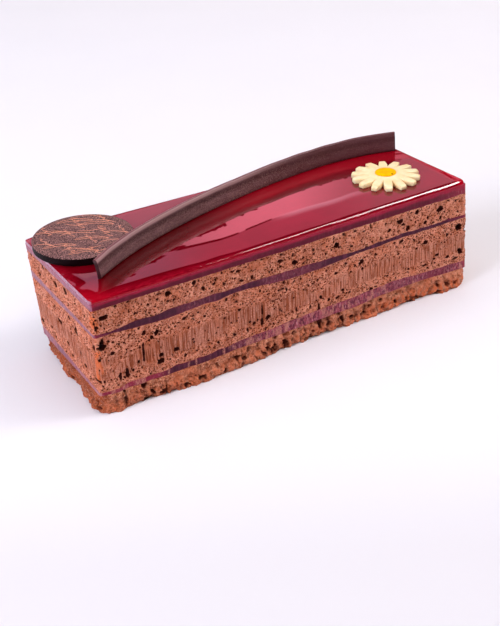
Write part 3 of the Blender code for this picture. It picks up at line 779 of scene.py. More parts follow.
def curl(material):
    """The chocolate curl, an upright shell with a hollow face and soft edges."""
    face_rise = np.linspace(CURL_ROUND, 1 - CURL_ROUND, CURL_ROWS)
    lean = np.interp(face_rise, *np.array(CURL_FACE).T)
    turns = np.arange(1, CURL_ROUND_STEPS) / CURL_ROUND_STEPS * pi
    half = CURL_THICKNESS / 2
    top, foot = half - half * np.cos(turns) + lean[-1], half + half * np.cos(turns)
    depth = np.concatenate([lean, top, lean[::-1] + CURL_THICKNESS, foot])
    bulge = CURL_ROUND * np.sin(turns)
    rise = np.concatenate([face_rise, 1 - CURL_ROUND + bulge, face_rise[::-1], CURL_ROUND - bulge])

    x = np.linspace(CURL_START, CURL_END, CURL_COLUMNS)
    slope = sum(power * factor * x ** (power - 1) for power, factor in enumerate(CURL_BOW) if power)
    back = np.stack([-slope, np.ones_like(x)], axis=1)
    back /= np.linalg.norm(back, axis=1)[:, None]
    along = np.linspace(0, 1, CURL_COLUMNS)
    low, high = CURL_HEIGHTS
    tall = low + (high - low) * along
    plan = np.stack([x, curl_line(x)], axis=1)[:, None] + back[:, None] * depth[None, :, None]
    z = HEIGHT + rise * tall[:, None]
    points = np.concatenate([plan, z[..., None]], axis=-1)
    start = np.clip(1.0 - (x - CURL_START) / SLANT_LENGTH, 0.0, 1.0)
    slant = CURL_SLANT * start[:, None] * (1.0 - rise)
    points[..., 0] += slant
    points[..., 1] += slant * slope[:, None]
    wave = 0.05 * noise(points, (16.0, 16.0, 5.0), 401) + 0.012 * noise(points, (3.0, 3.0, 0.7), 402)
    points[..., :2] += back[:, None] * wave[..., None]
    points[..., 2] += rise * 0.12 * noise(points * (1, 1, 0), 6.0, 403)

    tip = np.zeros(z.shape)
    tip[[0, -1]] = 1.0
    maps = {"rise": np.broadcast_to(rise, z.shape), "tip": tip, "along": np.repeat(along, len(rise))}
    made = make_mesh("curl_shell", points, tube_faces(*z.shape), maps, [material])
    made.data.set_sharp_from_angle(angle=radians(50))
    return made


def round_angles(sides):
    """The angles of this many points on a circle."""
    return 2 * pi * np.arange(sides) / sides


def turned(profile, centre, sides, foot):
    """A turned solid's points and faces. Its profile, of (radius, height), runs from the foot to the top."""
    angles = round_angles(sides)
    rings = []
    for radius, height in profile:
        x, y = centre[0] + radius * np.cos(angles), centre[1] + radius * np.sin(angles)
        rings.append(np.column_stack([x, y, foot + height + np.zeros(sides)]))
    return np.concatenate(rings), tube_faces(len(rings), sides)


def disc(material, print_look):
    """The chocolate disc with its soft edge, and the printed flourishes on its face."""
    radius, top, edge = DISC_RADIUS, DISC_THICKNESS, DISC_EDGE
    profile = [(radius - edge, 0.0)]
    profile += [(radius, height) for height in np.linspace(edge, top - edge, 6)]
    profile += [(radius - edge * (1 - c), top - edge * (1 - s)) for s, c in quarter_turn(4)]
    profile += [(inner, top) for inner in np.linspace(radius - edge, 0.4, 40)[1:]]
    points, faces = turned(profile, DISC_CENTRE, DISC_SIDES, HEIGHT)
    face = points[:, 2] > HEIGHT + top - 0.01
    points[:, 2] += face * 0.02 * noise(points * (1, 1, 0), 4.0, 411)

    stroke_points, stroke_faces = flourishes(len(points))
    stroke_points[:, 2] += HEIGHT + top
    kinds = [0] * len(faces) + [1] * len(stroke_faces)
    points = np.concatenate([points, stroke_points])
    # The side map places the painted shade on the disc's side.
    maps = {"side": points[:, 2] < HEIGHT + top - 0.2}
    return make_mesh("printed_disc", points, faces + stroke_faces, maps, [material, print_look], kinds)


def stroke(line, width):
    """The points of a flat ribbon along a line in the plan, tapered at both ends, four to a step."""
    ahead = np.gradient(line, axis=0)
    ahead /= np.linalg.norm(ahead, axis=1)[:, None]
    across = np.stack([-ahead[:, 1], ahead[:, 0]], axis=1)
    taper = 0.35 + 0.65 * np.sin(pi * np.linspace(0, 1, len(line))) ** 0.5
    half = width / 2 * taper[:, None]
    corners = ((-half, 0.0), (-half, PRINT_HEIGHT), (half, PRINT_HEIGHT), (half, 0.0))
    rows = [np.column_stack([line + across * aside, np.full(len(line), z)]) for aside, z in corners]
    return np.stack(rows, axis=1).reshape(-1, 3)


def zigzag(length, width):
    """A row of small slanted strokes, drawn as one line: its lengths along and across its heading."""
    turns = length / 2.9
    t = np.linspace(0, 1, int(turns * 12))
    sway = np.arcsin(np.sin(2 * pi * turns * t)) * 2 / pi
    swell = 0.65 + 0.35 * np.sin(2 * pi * t * length / 3.1)
    return length * t + 0.7 * width * sway, width * swell * sway


def loop(length, width):
    """A long narrow leaf, drawn round its edge and left open at its foot."""
    turn = np.linspace(0.06, 1.9, 60) * pi
    along = length * (1 - np.cos(turn)) / 2
    return along, width * np.sin(turn) + 0.12 * length * np.sin(pi * along / length)


def arc(length, bow):
    """A plain bowed stroke."""
    t = np.linspace(0, 1, 40)
    return length * t, bow * np.sin(pi * t**0.8)


# The print's strokes, as (x, y, heading in degrees, length, width or bow) from the disc's centre.
ZIGZAGS = (
    (-13.2, 6.8, -80, 7.5, 0.8), (-9.3, 14.6, -88, 8.5, 1.1), (-3.6, 8.4, -84, 7.6, 0.7),
    (-8.2, -1.6, -86, 9.5, 1.3), (2.6, 16.0, -92, 10.5, 1.7), (0.8, 0.6, -84, 8.5, 0.8),
    (7.4, 4.4, -90, 10.5, 1.6), (11.2, 12.2, -86, 8.5, 0.8), (-1.6, -9.0, -84, 6.5, 1.0),
    (13.2, 0.4, -92, 8.0, 0.8),
)
LOOPS = (
    (-15.0, -1.0, -22, 11.0, 0.75), (-12.6, 10.8, -34, 12.0, 0.7), (-3.4, 14.4, -24, 12.5, 0.8),
    (-3.6, -1.2, -30, 11.5, 0.7), (3.2, 8.8, -36, 11.5, 0.75), (-9.8, -10.2, -18, 10.0, 0.7),
)
ARCS = (
    (-16.4, 3.0, -44, 8.0, 1.2), (-6.4, 4.6, -26, 12.0, 1.5), (-10.2, -6.2, -32, 10.0, 1.4),
    (5.0, 15.8, -46, 10.5, 1.3), (2.8, -8.0, -28, 10.5, 1.4), (6.6, -1.6, -38, 9.0, 1.1),
    (-2.2, -14.2, -8, 8.5, 1.0), (-8.8, 8.6, -30, 9.0, 1.0), (-1.0, 12.2, -40, 8.0, -0.9),
    (0.6, 4.6, -22, 9.0, -1.1), (-6.0, -7.6, -20, 8.5, -1.0), (8.6, 8.8, -50, 8.0, 1.0),
)
STROKES = ((zigzag, ZIGZAGS, ZIGZAG_WIDTH), (loop, LOOPS, LOOP_WIDTH), (arc, ARCS, ARC_WIDTH))


def flourishes(first):
    """The disc's print: zigzags, leaf loops and bows, cut off at its edge. Its points count from first."""
    points, faces = [], []
    for draw, table, width in STROKES:
        for x, y, heading, *size in table:
            along, across = draw(*size)
            c, s = cos(radians(heading)), sin(radians(heading))
            line = np.stack([x + along * c - across * s, y + along * s + across * c], axis=1)
            line = line[np.linalg.norm(line, axis=1) < DISC_RADIUS - PRINT_MARGIN]
            points.append(stroke(line + np.array(DISC_CENTRE), width))
            faces += [[first + i for i in face] for face in tube_faces(len(line), 4)]
            first += len(points[-1])
    return np.concatenate(points), faces


DAISY_CENTRE = (52.6, -6.2)
DAISY_RADIUS, DAISY_HEART = 12.5, 6.2
DAISY_PETALS, PETAL_SIDES = 14, 44
DAISY_TURN = radians(8.1)
DAISY_RIM, DAISY_CROWN = 1.7, 2.4
EYE_RADIUS, EYE_SUNK = 3.85, 0.3
# A petal's outline, as (distance from the daisy's middle, half the petal's width).
DAISY_PETAL = (
    (6.4, 1.42), (7.0, 1.5), (8.0, 1.6), (9.0, 1.62), (10.0, 1.52), (11.0, 1.36), (12.0, 1.16), (12.4, 1.06),
    (12.5, 0.95), (12.5, 0.0),
)
# The petals' soft rim, as (share of the way out, share of the height).
PETAL_RIM = ((0.985, 0.0), (1.0, 0.15), (1.0, 0.75), (0.985, 0.9), (0.955, 0.98))


def daisy(material):
    """The daisy's petals: widest near their blunt tips, with narrow clefts between, in one piece."""
    sides = DAISY_PETALS * PETAL_SIDES
    turns = (round_angles(sides) - DAISY_TURN) / (2 * pi / DAISY_PETALS)
    across = np.abs((turns + 0.5) % 1.0 - 0.5) * 2
    along, half = np.array(DAISY_PETAL).T
    reach = np.interp(across * pi / DAISY_PETALS, np.arctan2(half, along)[::-1], np.hypot(half, along)[::-1])
    profile = []
    for share, rise in PETAL_RIM + tuple((share, None) for share in np.linspace(0.92, 0.05, 34)):
        radius = share * (DAISY_HEART + (reach - DAISY_HEART) * ramp(share, 0.35, 0.85))
        height = DAISY_RIM + (DAISY_CROWN - DAISY_RIM) * (1 - smooth(radius / DAISY_RADIUS))
        if rise is None:
            height = height - 0.3 * ramp(across, 0.7, 1.0) * ramp(radius, 5.6, 6.8)
        else:
            height = height * rise
        profile.append((radius, height))
    return make_mesh("daisy_flower", *turned(profile, DAISY_CENTRE, sides, HEIGHT), {}, [material])


def daisy_eye(material):
    """The daisy's flat, domed centre."""
    radius = EYE_RADIUS
    profile = [(radius - 0.15, 0.0), (radius, 0.15), (radius, 0.35)]
    profile += [(radius - 0.5 * (1 - c), 0.35 + 0.25 * s) for s, c in quarter_turn(6)]
    profile += [(radius * share, 0.6 + 0.15 * (1 - share**2)) for share in np.linspace(0.86, 0.04, 10)]
    shape = turned(profile, DAISY_CENTRE, 96, HEIGHT + DAISY_CROWN - EYE_SUNK)
    return make_mesh("daisy_centre", *shape, {}, [material])


# Materials. Their colours are from 0 to 255.


def in_three(size):
    """A size as three lengths."""
    return size if isinstance(size, tuple) else (size,) * 3


class Shader:
    """Builds a material's nodes round its Principled shader."""

    def __init__(self, name, specular=None, **sockets):
        self.material = bpy.data.materials.new(name)
        self.material.use_nodes = True
        self.tree = self.material.node_tree
        self.shader = self.tree.nodes["Principled BSDF"]
        if specular is not None:
            self.shader.inputs["Specular IOR Level"].default_value = specular
        for key, value in sockets.items():
            self.shader.inputs[key.replace("_", " ")].default_value = value
        self.place = self.add("ShaderNodeTexCoord").outputs["Object"]

    def add(self, kind, **settings):
        """A new node."""
        node = self.tree.nodes.new(kind)
        for key, value in settings.items():
            setattr(node, key, value)
        return node

    def feed(self, socket, value):
        """Links an output to the socket, or sets a plain value on it."""
        if isinstance(value, bpy.types.NodeSocket):
            self.tree.links.new(value, socket)
        else:
            socket.default_value = value

    def pattern(self, kind, size, **values):
        """A texture node over the object, its size in millimetres, or three for a stretched one."""
        mapping = self.add("ShaderNodeMapping")
        self.feed(mapping.inputs["Vector"], self.place)
        mapping.inputs["Scale"].default_value = tuple(1000 / length for length in in_three(size))
        node = self.add(kind)
        self.feed(node.inputs["Vector"], mapping.outputs["Vector"])
        for key, value in {"Scale": 1.0, **values}.items():
            node.inputs[key].default_value = value
        return node

    def noise(self, size, detail=2.0, rough=0.5, distortion=0.0):
        """Noise from 0 to 1."""
        values = {"Detail": detail, "Roughness": rough, "Distortion": distortion}
        return self.pattern("ShaderNodeTexNoise", size, **values).outputs["Fac"]

    def value(self, name):
        """A number kept for each point of the mesh."""
        return self.add("ShaderNodeAttribute", attribute_name=name).outputs["Fac"]

    def math(self, operation, *values):
        """One operation on outputs or plain numbers."""
        node = self.add("ShaderNodeMath", operation=operation)
        for socket, value in zip(node.inputs, values):
            self.feed(socket, value)
        return node.outputs[0]

    def times(self, first, *others):
        """A product."""
        for other in others:
            first = self.math("MULTIPLY", first, other)
        return first

    def less(self, a, b):
        """A difference."""
        return self.math("SUBTRACT", a, b)

    def step(self, value, low, high, to_low=0.0, to_high=1.0):
        """Eases from to_low to to_high as the value goes from low to high."""
        node = self.add("ShaderNodeMapRange", interpolation_type="SMOOTHSTEP")
        values = {"Value": value, "From Min": low, "From Max": high, "To Min": to_low, "To Max": to_high}
        for key, item in values.items():
            self.feed(node.inputs[key], item)
        return node.outputs["Result"]

    def fall(self, value, low, high):
        """Eases from 1 to 0 as the value goes from low to high."""
        return self.step(value, low, high, 1.0, 0.0)

    def mix(self, amount, under, over):
        """One colour under an amount of another. Three numbers stand for a colour from 0 to 255."""
        node = self.add("ShaderNodeMix", data_type="RGBA", blend_type="MIX")
        self.feed(node.inputs["Factor"], amount)
        for socket, colour in ((node.inputs[6], under), (node.inputs[7], over)):
            self.feed(socket, rgb(*colour) if isinstance(colour, tuple) and len(colour) == 3 else colour)
        return node.outputs[2]

    def coat(self, colour, *coats):
        """A colour with coats over it, each as (its amount, its colour)."""
        for amount, over in coats:
            colour = self.mix(amount, colour, over)
        return colour

    def bump(self, height, depth, strength=1.0):
        """A bump of this depth in millimetres."""
        node = self.add("ShaderNodeBump")
        node.inputs["Strength"].default_value = strength
        node.inputs["Distance"].default_value = depth * MM
        self.feed(node.inputs["Height"], height)
        return node.outputs["Normal"]

    def finish(self, colour, normal=None, roughness=None):
        """Feeds the shader. roughness is (the noise that it follows, its least, its greatest)."""
        self.feed(self.shader.inputs["Base Color"], colour)
        if normal is not None:
            self.feed(self.shader.inputs["Normal"], normal)
        if roughness is not None:
            follows, least, greatest = roughness
            self.feed(self.shader.inputs["Roughness"], self.step(follows, 0.3, 0.7, least, greatest))
        return self.material


def crumb_material(name, light, body, ring, deep, hole_size, hole_weight, bump_depth):
    """Mousse or sponge: holes in painted shade, warm rims of painted glow, smoother and ridged where the
    knife dragged.
    """
    s = Shader(
        name, 0.2, Roughness=0.6, Subsurface_Weight=0.08, Subsurface_Scale=0.001,
        Subsurface_Radius=(1.0, 0.35, 0.2),
    )
    broad = s.noise(5.0, detail=3.0)
    fine = s.noise(0.6, detail=4.0, rough=0.75)
    specks = s.noise(0.42, detail=1.0)
    holes = s.pattern("ShaderNodeTexVoronoi", (hole_size, hole_size, hole_size * 0.85))
    reach = s.less(holes.outputs["Distance"], s.times(holes.outputs["Color"], 0.5))
    drag, cavity_shade = s.value("drag"), s.value("cavity_shade")
    foam = s.times(s.less(1.0, s.times(drag, 0.85)), hole_weight)
    # Painted shade in the shader's small holes, and painted glow in the warm rims round them.
    hole = s.times(s.fall(reach, -0.06, 0.08), foam)
    rim = s.times(s.fall(reach, 0.05, 0.28), foam)
    line = s.noise((0.5, 0.5, 9.0), detail=1.0, distortion=0.3)
    # The knife's grooves are painted orange and then darker: painted shade.
    groove = s.times(s.fall(line, 0.38, 0.54), drag)
    # Painted shade: the relief map lightens raised foam and darkens sunken foam.
    tone = s.math("ADD", fine, s.times(s.value("relief_shade"), 0.35))
    colour = s.coat(
        s.mix(s.step(tone, 0.36, 0.62), body, light),
        (s.times(s.step(specks, 0.58, 0.7), 0.55), (244, 182, 154)),
        (s.times(drag, 0.4), (190, 124, 106)),
        (s.step(broad, 0.42, 0.72, 0.0, 0.45), ring),
        (s.times(s.math("ADD", rim, groove), 0.8), ring),
        (s.times(groove, 0.45), deep),
        # Painted glow where the glow map says.
        (s.times(s.value("glow"), 0.8), (230, 112, 62)),
        (s.times(hole, 0.85), deep),
        # Painted shade: pits take the dark colour by their depth, the deepest near black.
        (s.step(cavity_shade, 0.04, 0.4), deep),
        (s.step(cavity_shade, 0.8, 1.9), (26, 4, 2)),
    )
    height = s.less(s.times(fine, 0.9), s.math("ADD", hole, s.times(groove, 0.6)))
    return s.finish(colour, s.bump(height, bump_depth), (fine, 0.45, 0.7))


def jelly_material(name, body, light, edge_colour):
    """Cut berry jelly: dark and moist, drawn by the knife, paler where thin, paler with painted sheen on the
    bar's end.
    """
    s = Shader(name, 0.12, Roughness=0.4)
    fine = s.noise((0.5, 0.5, 2.2), detail=2.0, distortion=0.6)
    grain = s.noise(0.45, detail=3.0, rough=0.65)
    blots = s.noise((0.8, 0.8, 1.1), detail=3.0, rough=0.6, distortion=0.5)
    speckle = s.math("MULTIPLY_ADD", grain, 0.5, s.times(fine, 0.5))
    tone = s.math("MULTIPLY_ADD", s.value("streak"), 0.4, speckle)
    pale = s.times(s.value("pale"), s.step(blots, 0.35, 0.62, 0.1, 1.0))
    smear = s.times(s.value("smear"), s.step(grain, 0.34, 0.56))
    colour = s.coat(
        s.mix(s.step(tone, 0.35, 1.0), body, light),
        (s.times(s.value("edge"), 0.5), edge_colour),
        (pale, (178, 84, 94)),
        (s.times(s.value("red"), 0.75), (152, 40, 62)),
        (s.times(pale, s.step(fine, 0.52, 0.68), 0.55), (214, 160, 170)),
        (smear, (188, 118, 106)),
        (s.times(s.value("glow"), 0.85), (168, 26, 58)),
        # Painted sheen on the bar's end.
        (s.times(s.value("end"), s.step(fine, 0.3, 0.75, 0.3, 0.7)), (150, 108, 128)),
    )
    height = s.math("MULTIPLY_ADD", grain, 0.5, s.math("MULTIPLY_ADD", grain, smear, fine))
    s.feed(s.shader.inputs["Roughness"], s.step(smear, 0.0, 1.0, 0.35, 0.6))
    return s.finish(colour, s.bump(height, 0.12, 0.6))


def glaze_material():
    """Mirror glaze: deep crimson. Painted glow brightens its edges; painted shade darkens it before the curl.
    """
    s = Shader("mirror_glaze_look", Roughness=0.008, IOR=1.38)
    cloud = s.noise(13.0, detail=3.0)
    hatch = s.noise((2.2, 0.5, 2.0), detail=2.0)
    colour = s.coat(
        s.mix(s.step(cloud, 0.35, 0.7), (98, 0, 10), (112, 1, 18)),
        # Painted glow along the edges.
        (s.value("rim"), s.mix(s.step(hatch, 0.42, 0.62), (126, 4, 22), (146, 12, 32))),
        # Painted glow where the lit map says.
        (s.value("lit"), (174, 6, 28)),
        # Painted shade before the curl's left part.
        (s.value("deep"), (82, 0, 5)),
    )
    dots = s.times(s.value("dotted"), s.noise(0.8, detail=1.0))
    return s.finish(colour, s.bump(dots, 0.05), (cloud, 0.006, 0.012))


def glaze_side_material():
    """The glaze's cut side: translucent crimson, duller than its top, paler with painted sheen on the end of
    the bar.
    """
    s = Shader("glaze_side_look", 0.15, Roughness=0.3)
    grain = s.noise((1.5, 1.5, 0.6), detail=3.0)
    rise = s.math("MULTIPLY_ADD", s.less(grain, 0.5), 0.4, s.value("rise"))
    streaks = s.noise((0.6, 0.6, 4.0), detail=2.0)
    top = s.math("MULTIPLY_ADD", s.noise(3.0, detail=2.0), 0.5, 0.72)
    below_top = s.step(s.less(top, rise), -0.06, 0.1)
    pale = s.mix(s.step(streaks, 0.3, 0.7), (152, 96, 116), (182, 134, 150))
    colour = s.coat(
        s.mix(s.step(rise, -0.1, 0.3), (176, 50, 78), (158, 12, 34)),
        (s.step(rise, 0.5, 0.95), (146, 0, 16)),
        # Painted sheen: the side is pale and streaked on the bar's end.
        (s.times(s.value("end"), below_top), pale),
    )
    return s.finish(colour, s.bump(grain, 0.06, 0.5), (grain, 0.24, 0.4))


def chocolate_material():
    """Dark chocolate of the curl: satin, with a grainy face and a painted highlight band above a painted
    shade band.

    The foot and the whole of its far end are darkened with painted shade; the top edge and cut ends are
    darker too.
    """
    s = Shader("satin_chocolate", 0.3, Roughness=0.42)
    streak = s.noise((9.0, 9.0, 0.6), detail=3.0)
    bloom = s.noise((5.0, 5.0, 2.0), detail=2.0)
    grain = s.noise(0.4, detail=2.0, rough=0.8)
    rise, along = s.value("rise"), s.value("along")
    tone = s.math("MULTIPLY_ADD", streak, 0.5, s.times(bloom, 0.5))
    speck = s.times(s.step(grain, 0.48, 0.62), s.step(along, 0.5, 0.85, 0.6, 0.15))
    colour = s.coat(
        s.mix(s.step(tone, 0.35, 0.65), (100, 62, 66), (128, 88, 92)),
        # Painted highlight: a pale band near the top, fading towards the far end.
        (s.times(s.step(rise, 0.78, 0.88), s.step(along, 0.45, 0.8, 0.8, 0.0)), (190, 146, 146)),
        # Painted shade: a dark band across the middle of the face.
        (s.times(s.step(rise, 0.46, 0.64), s.fall(rise, 0.72, 0.86), 0.75), (56, 28, 32)),
        # Painted shade over the far end.
        (s.step(along, 0.35, 0.8, 0.0, 0.72), (76, 26, 34)),
        # Painted shade along the foot.
        (s.times(s.fall(rise, 0.04, 0.22), 0.65), (58, 10, 18)),
        (s.times(speck, s.step(rise, 0.55, 0.75, 1.0, 0.4)), (172, 130, 122)),
        (s.times(s.value("tip"), 0.9), (44, 10, 16)),
        (s.step(rise, 0.965, 0.985, 0.0, 0.75), (96, 24, 34)),
    )
    normal = s.bump(s.math("MULTIPLY_ADD", grain, 0.6, streak), 0.08, 0.5)
    return s.finish(colour, normal, (bloom, 0.36, 0.48))


def disc_material():
    """Dark chocolate of the disc: a dry, grained face and a side darkened by painted shade."""
    s = Shader("grained_chocolate", 0.12, Roughness=0.6)
    grain = s.noise(0.42, detail=3.0, rough=0.75)
    broad = s.noise(5.0, detail=2.0)
    colour = s.coat(
        s.mix(s.step(grain, 0.45, 0.58), (36, 14, 18), (180, 130, 124)),
        (s.times(s.step(broad, 0.35, 0.7), 0.3), (84, 52, 54)),
        # Painted shade on the side.
        (s.value("side"), (18, 4, 7)),
    )
    return s.finish(colour, s.bump(grain, 0.16, 0.7), (grain, 0.5, 0.7))


def print_material():
    """The disc's copper-coloured print, thin and broken by the grain below it."""
    s = Shader("copper_print", Roughness=0.45)
    grain = s.noise(0.35, detail=3.0, rough=0.7)
    colour = s.mix(s.step(grain, 0.36, 0.52), (214, 112, 82), (255, 168, 132))
    return s.finish(colour, roughness=(grain, 0.4, 0.6))


def cream_material():
    """White chocolate of the petals."""
    s = Shader(
        "white_chocolate_look", Roughness=0.42, Subsurface_Weight=0.2, Subsurface_Scale=0.0015,
        Subsurface_Radius=(1.0, 0.7, 0.4),
    )
    cloud = s.noise(3.0, detail=2.0)
    colour = s.mix(s.step(cloud, 0.3, 0.7), (252, 217, 162), (255, 228, 184))
    return s.finish(colour, s.bump(s.noise(0.7, detail=2.0), 0.05, 0.3), (cloud, 0.38, 0.5))


def yellow_material():
    """The daisy's centre, with one dark speck near its rim."""
    s = Shader("daisy_yellow_look", 0.02, Roughness=0.5)
    cloud = s.noise(1.6, detail=3.0)
    x, y = DAISY_CENTRE
    speck = s.add("ShaderNodeVectorMath", operation="DISTANCE")
    s.feed(speck.inputs[0], s.place)
    speck.inputs[1].default_value = Vector((x + 0.5, y - 3.3, HEIGHT + 2.7)) * MM
    colour = s.coat(
        s.mix(s.step(cloud, 0.3, 0.7), (250, 169, 0), (255, 187, 0)),
        (s.fall(speck.outputs["Value"], 0.3 * MM, 0.45 * MM), (96, 44, 8)),
    )
    return s.finish(colour, s.bump(s.noise(0.5, detail=2.0), 0.06, 0.4), (cloud, 0.42, 0.58))


# The studio.

# The light of the backdrop's panels, which meet at a level that falls towards the right. Its angles are in
# degrees.
BRIGHT_PANEL = (5.5, 1.28, 1.78, 1.0)
PALE_PANEL = (2.2, 0.93, 1.22, 1.0)
END_PANEL = (2.15, 0.62, 0.82, 1.0)
DIM_PANEL = (2.55, 0.4, 0.65, 1.0)
NEAR_PANEL = (1.7, 0.69, 1.05, 1.0)
STREAK = (6.4, 2.8, 3.6, 1.0)
BLACK = (0.0, 0.0, 0.0, 1.0)
# The joint between the panels, as (azimuth, elevation), and the ragged upper edge of a dark strip along it.
JOINT = (
    (20.0, 27.6), (25.3, 26.68), (26.0, 26.55), (27.25, 26.37), (28.33, 26.2), (29.18, 25.98), (29.7, 25.79),
    (30.42, 25.56), (31.1, 25.34), (33.1, 24.87), (34.1, 24.66), (34.7, 24.5), (35.3, 24.3), (40.0, 23.2),
)
RAGGED_EDGE = (
    (15.0, 31.0), (22.67, 27.76), (23.5, 27.23), (24.46, 26.84), (25.4, 26.57), (26.05, 26.22),
    (27.76, 25.72), (29.55, 24.94), (31.45, 24.21), (35.17, 23.3), (37.0, 22.6), (76.0, 0.0),
)
# The dark joint is broken here.
GAP_AZIMUTH = 29.45
CEILING = 29.5
BACKDROP_DISTANCE = 4e4

CAMERA_PLACE = (-193.48, -332.87, 220.73)
CAMERA_AZIMUTH, CAMERA_ELEVATION, CAMERA_ROLL = radians(-29.63), radians(29.72), radians(-3.17)
FOCAL_PIXELS, TALLER_SIDE = 1200.0, 626.0
SENSOR_WIDTH = 36.0

FLOOR_SIZE = 6.0
WORLD_COLOUR, WORLD_STRENGTH = (0.95, 0.95, 1.0, 1.0), 0.33
WHITE = (1.0, 1.0, 1.0)
# The lights, as (name, place, target, size, power, colour, mirrored). A mirrored one shows in the glaze and
# lights nothing else. Lengths are in metres.
LIGHTS = (
    ("overhead", (0.0, 0.9, 2.4), (0, 0.2, 0), (2.4, 2.4), 17.5, WHITE, False),
    ("front_top", (0.72, -2.0, 2.72), (0, 0, 0), (3.4, 2.0), 28.5, WHITE, False),
    ("key", (1.1, -0.45, 1.2), (0, 0, 0), (0.6, 0.4), 10.5, (1.0, 0.98, 0.96), False),
    ("left_window", (-1.3, -0.1, 0.65), (0, 0, 0.02), (0.8, 0.7), 19.0, (0.88, 0.95, 1.1), False),
    ("edge_strip", (0.62, -0.18, 1.04), (0, 0, 0.04), (0.2, 0.25), 4.8, WHITE, True),
    ("edge_end", (0.8, -0.24, 0.93), (0, 0, 0.04), (0.5, 0.18), 10.5, WHITE, True),
)


def camera():
    """The camera at the photograph's viewing angle."""
    data = bpy.data.cameras.new("camera")
    data.sensor_width = SENSOR_WIDTH
    data.lens = FOCAL_PIXELS / TALLER_SIDE * SENSOR_WIDTH
    data.clip_start = 0.01
    obj = new_object("camera", data)
    az, el, roll = CAMERA_AZIMUTH, CAMERA_ELEVATION, CAMERA_ROLL
    back = Vector((sin(az) * cos(el), -cos(az) * cos(el), sin(el)))
    level = Vector((cos(az), sin(az), 0.0))
    upright = back.cross(level)
    right = level * cos(roll) + upright * sin(roll)
    up = upright * cos(roll) - level * sin(roll)
    axes = Matrix((right, up, back)).transposed().to_4x4()
    obj.matrix_world = Matrix.Translation(Vector(CAMERA_PLACE) * MM) @ axes
    bpy.context.scene.camera = obj


def light(name, place_at, target, size, power, colour, mirrored):
    """A soft rectangular light, turned to a target. The glaze mirrors it, or else it lights the cake."""
    data = bpy.data.lights.new(name, "AREA")
    data.shape = "RECTANGLE"
    data.size, data.size_y = size
    data.energy = power
    data.color = colour
    obj = new_object(name, data)
    heading = Vector(target) - Vector(place_at)
    obj.matrix_world = Matrix.Translation(place_at) @ heading.to_track_quat("-Z", "Y").to_matrix().to_4x4()
    obj.visible_camera = False
    obj.visible_glossy = mirrored
    obj.visible_diffuse = not mirrored


def panel_colours(s, azimuth, elevation, above):
    """The bright panel below the joint and the dim one above it."""
    corner = s.math("MULTIPLY_ADD", elevation, 1.2, azimuth)
    bright = s.mix(s.step(corner, 56.0, 60.5), PALE_PANEL, BRIGHT_PANEL)
    bright = s.mix(s.step(azimuth, 31.5, 36.5), bright, END_PANEL)
    dim = s.mix(s.step(azimuth, 23.5, 28.5), NEAR_PANEL, DIM_PANEL)
    dim = s.mix(s.step(azimuth, 33.0, 38.0), dim, END_PANEL)
    return s.mix(s.step(above, -0.01, 0.01), bright, dim)


def dark_joint(s, azimuth, above):
    """The thin dark joint between the panels, broken in one place."""
    half_width = s.math("MULTIPLY_ADD", azimuth, -0.006, 0.21)
    return s.times(
        s.fall(s.less(s.math("ABSOLUTE", above), half_width), 0.0, 0.015),
        s.step(s.math("ABSOLUTE", s.less(azimuth, GAP_AZIMUTH)), 0.12, 0.25),
        s.fall(azimuth, 31.0, 31.1),
        s.step(azimuth, 24.0, 24.3),
    )


def dark_strip(s, azimuth, elevation):
    """A dark strip along the joint. Its edges are ragged."""
    where = s.add("ShaderNodeCombineXYZ")
    s.feed(where.inputs["X"], s.times(azimuth, 1.7))
    s.feed(where.inputs["Y"], s.times(elevation, 3.5))
    teeth = s.add("ShaderNodeTexNoise")
    s.feed(teeth.inputs["Vector"], where.outputs["Vector"])
    teeth.inputs["Scale"].default_value = 1.0
    below = s.less(s.math("MULTIPLY_ADD", teeth.outputs["Fac"], 0.9, s.value("ragged")), elevation)
    return s.times(s.step(below, 0.32, 0.34), s.fall(below, 1.5, 1.6), s.step(azimuth, 22.2, 22.5))


def backdrop_material():
    """A bright and a dim panel with a thin dark joint and a streak between them, below a dark ceiling."""
    s = Shader("backdrop_glow")
    azimuth, elevation = s.value("azimuth"), s.value("elevation")
    above = s.less(elevation, s.value("joint"))
    streak_height = s.times(s.step(above, -0.1, 0.0), s.fall(above, 0.0, 0.24))
    streak_length = s.times(s.step(azimuth, 30.8, 32.4), s.fall(azimuth, 34.0, 38.0))
    dark = s.math("MAXIMUM", dark_joint(s, azimuth, above), dark_strip(s, azimuth, elevation))
    glow = s.coat(
        panel_colours(s, azimuth, elevation, above),
        (s.times(streak_height, streak_length, 0.5), STREAK),
        (dark, BLACK),
        (s.step(elevation, CEILING - 0.5, CEILING), BLACK),
        (s.fall(elevation, 16.0, 19.0), BLACK),
    )
    emission = s.add("ShaderNodeEmission")
    s.feed(emission.inputs["Color"], glow)
    s.tree.links.new(emission.outputs[0], s.tree.nodes["Material Output"].inputs["Surface"])
    s.tree.nodes.remove(s.shader)
    return s.material


def backdrop():
    """What the glaze mirrors: part of a dome. Each of its points keeps its direction from the cake."""
    azimuths, elevations = np.meshgrid(np.arange(-30.0, 76.0, 0.25), np.arange(4.0, 66.0))
    az, el = np.radians(azimuths), np.radians(elevations)
    directions = np.stack([np.sin(az) * np.cos(el), np.cos(az) * np.cos(el), np.sin(el)], axis=-1)
    faces = grid_faces(np.arange(azimuths.size).reshape(azimuths.shape))
    maps = {
        "azimuth": azimuths,
        "elevation": elevations,
        "joint": np.interp(azimuths, *np.array(JOINT).T),
        "ragged": np.interp(azimuths, *np.array(RAGGED_EDGE).T),
    }
    obj = make_mesh("backdrop", directions * BACKDROP_DISTANCE, faces, maps, [backdrop_material()])
    obj.visible_camera = False
    obj.visible_diffuse = False
    obj.visible_shadow = False


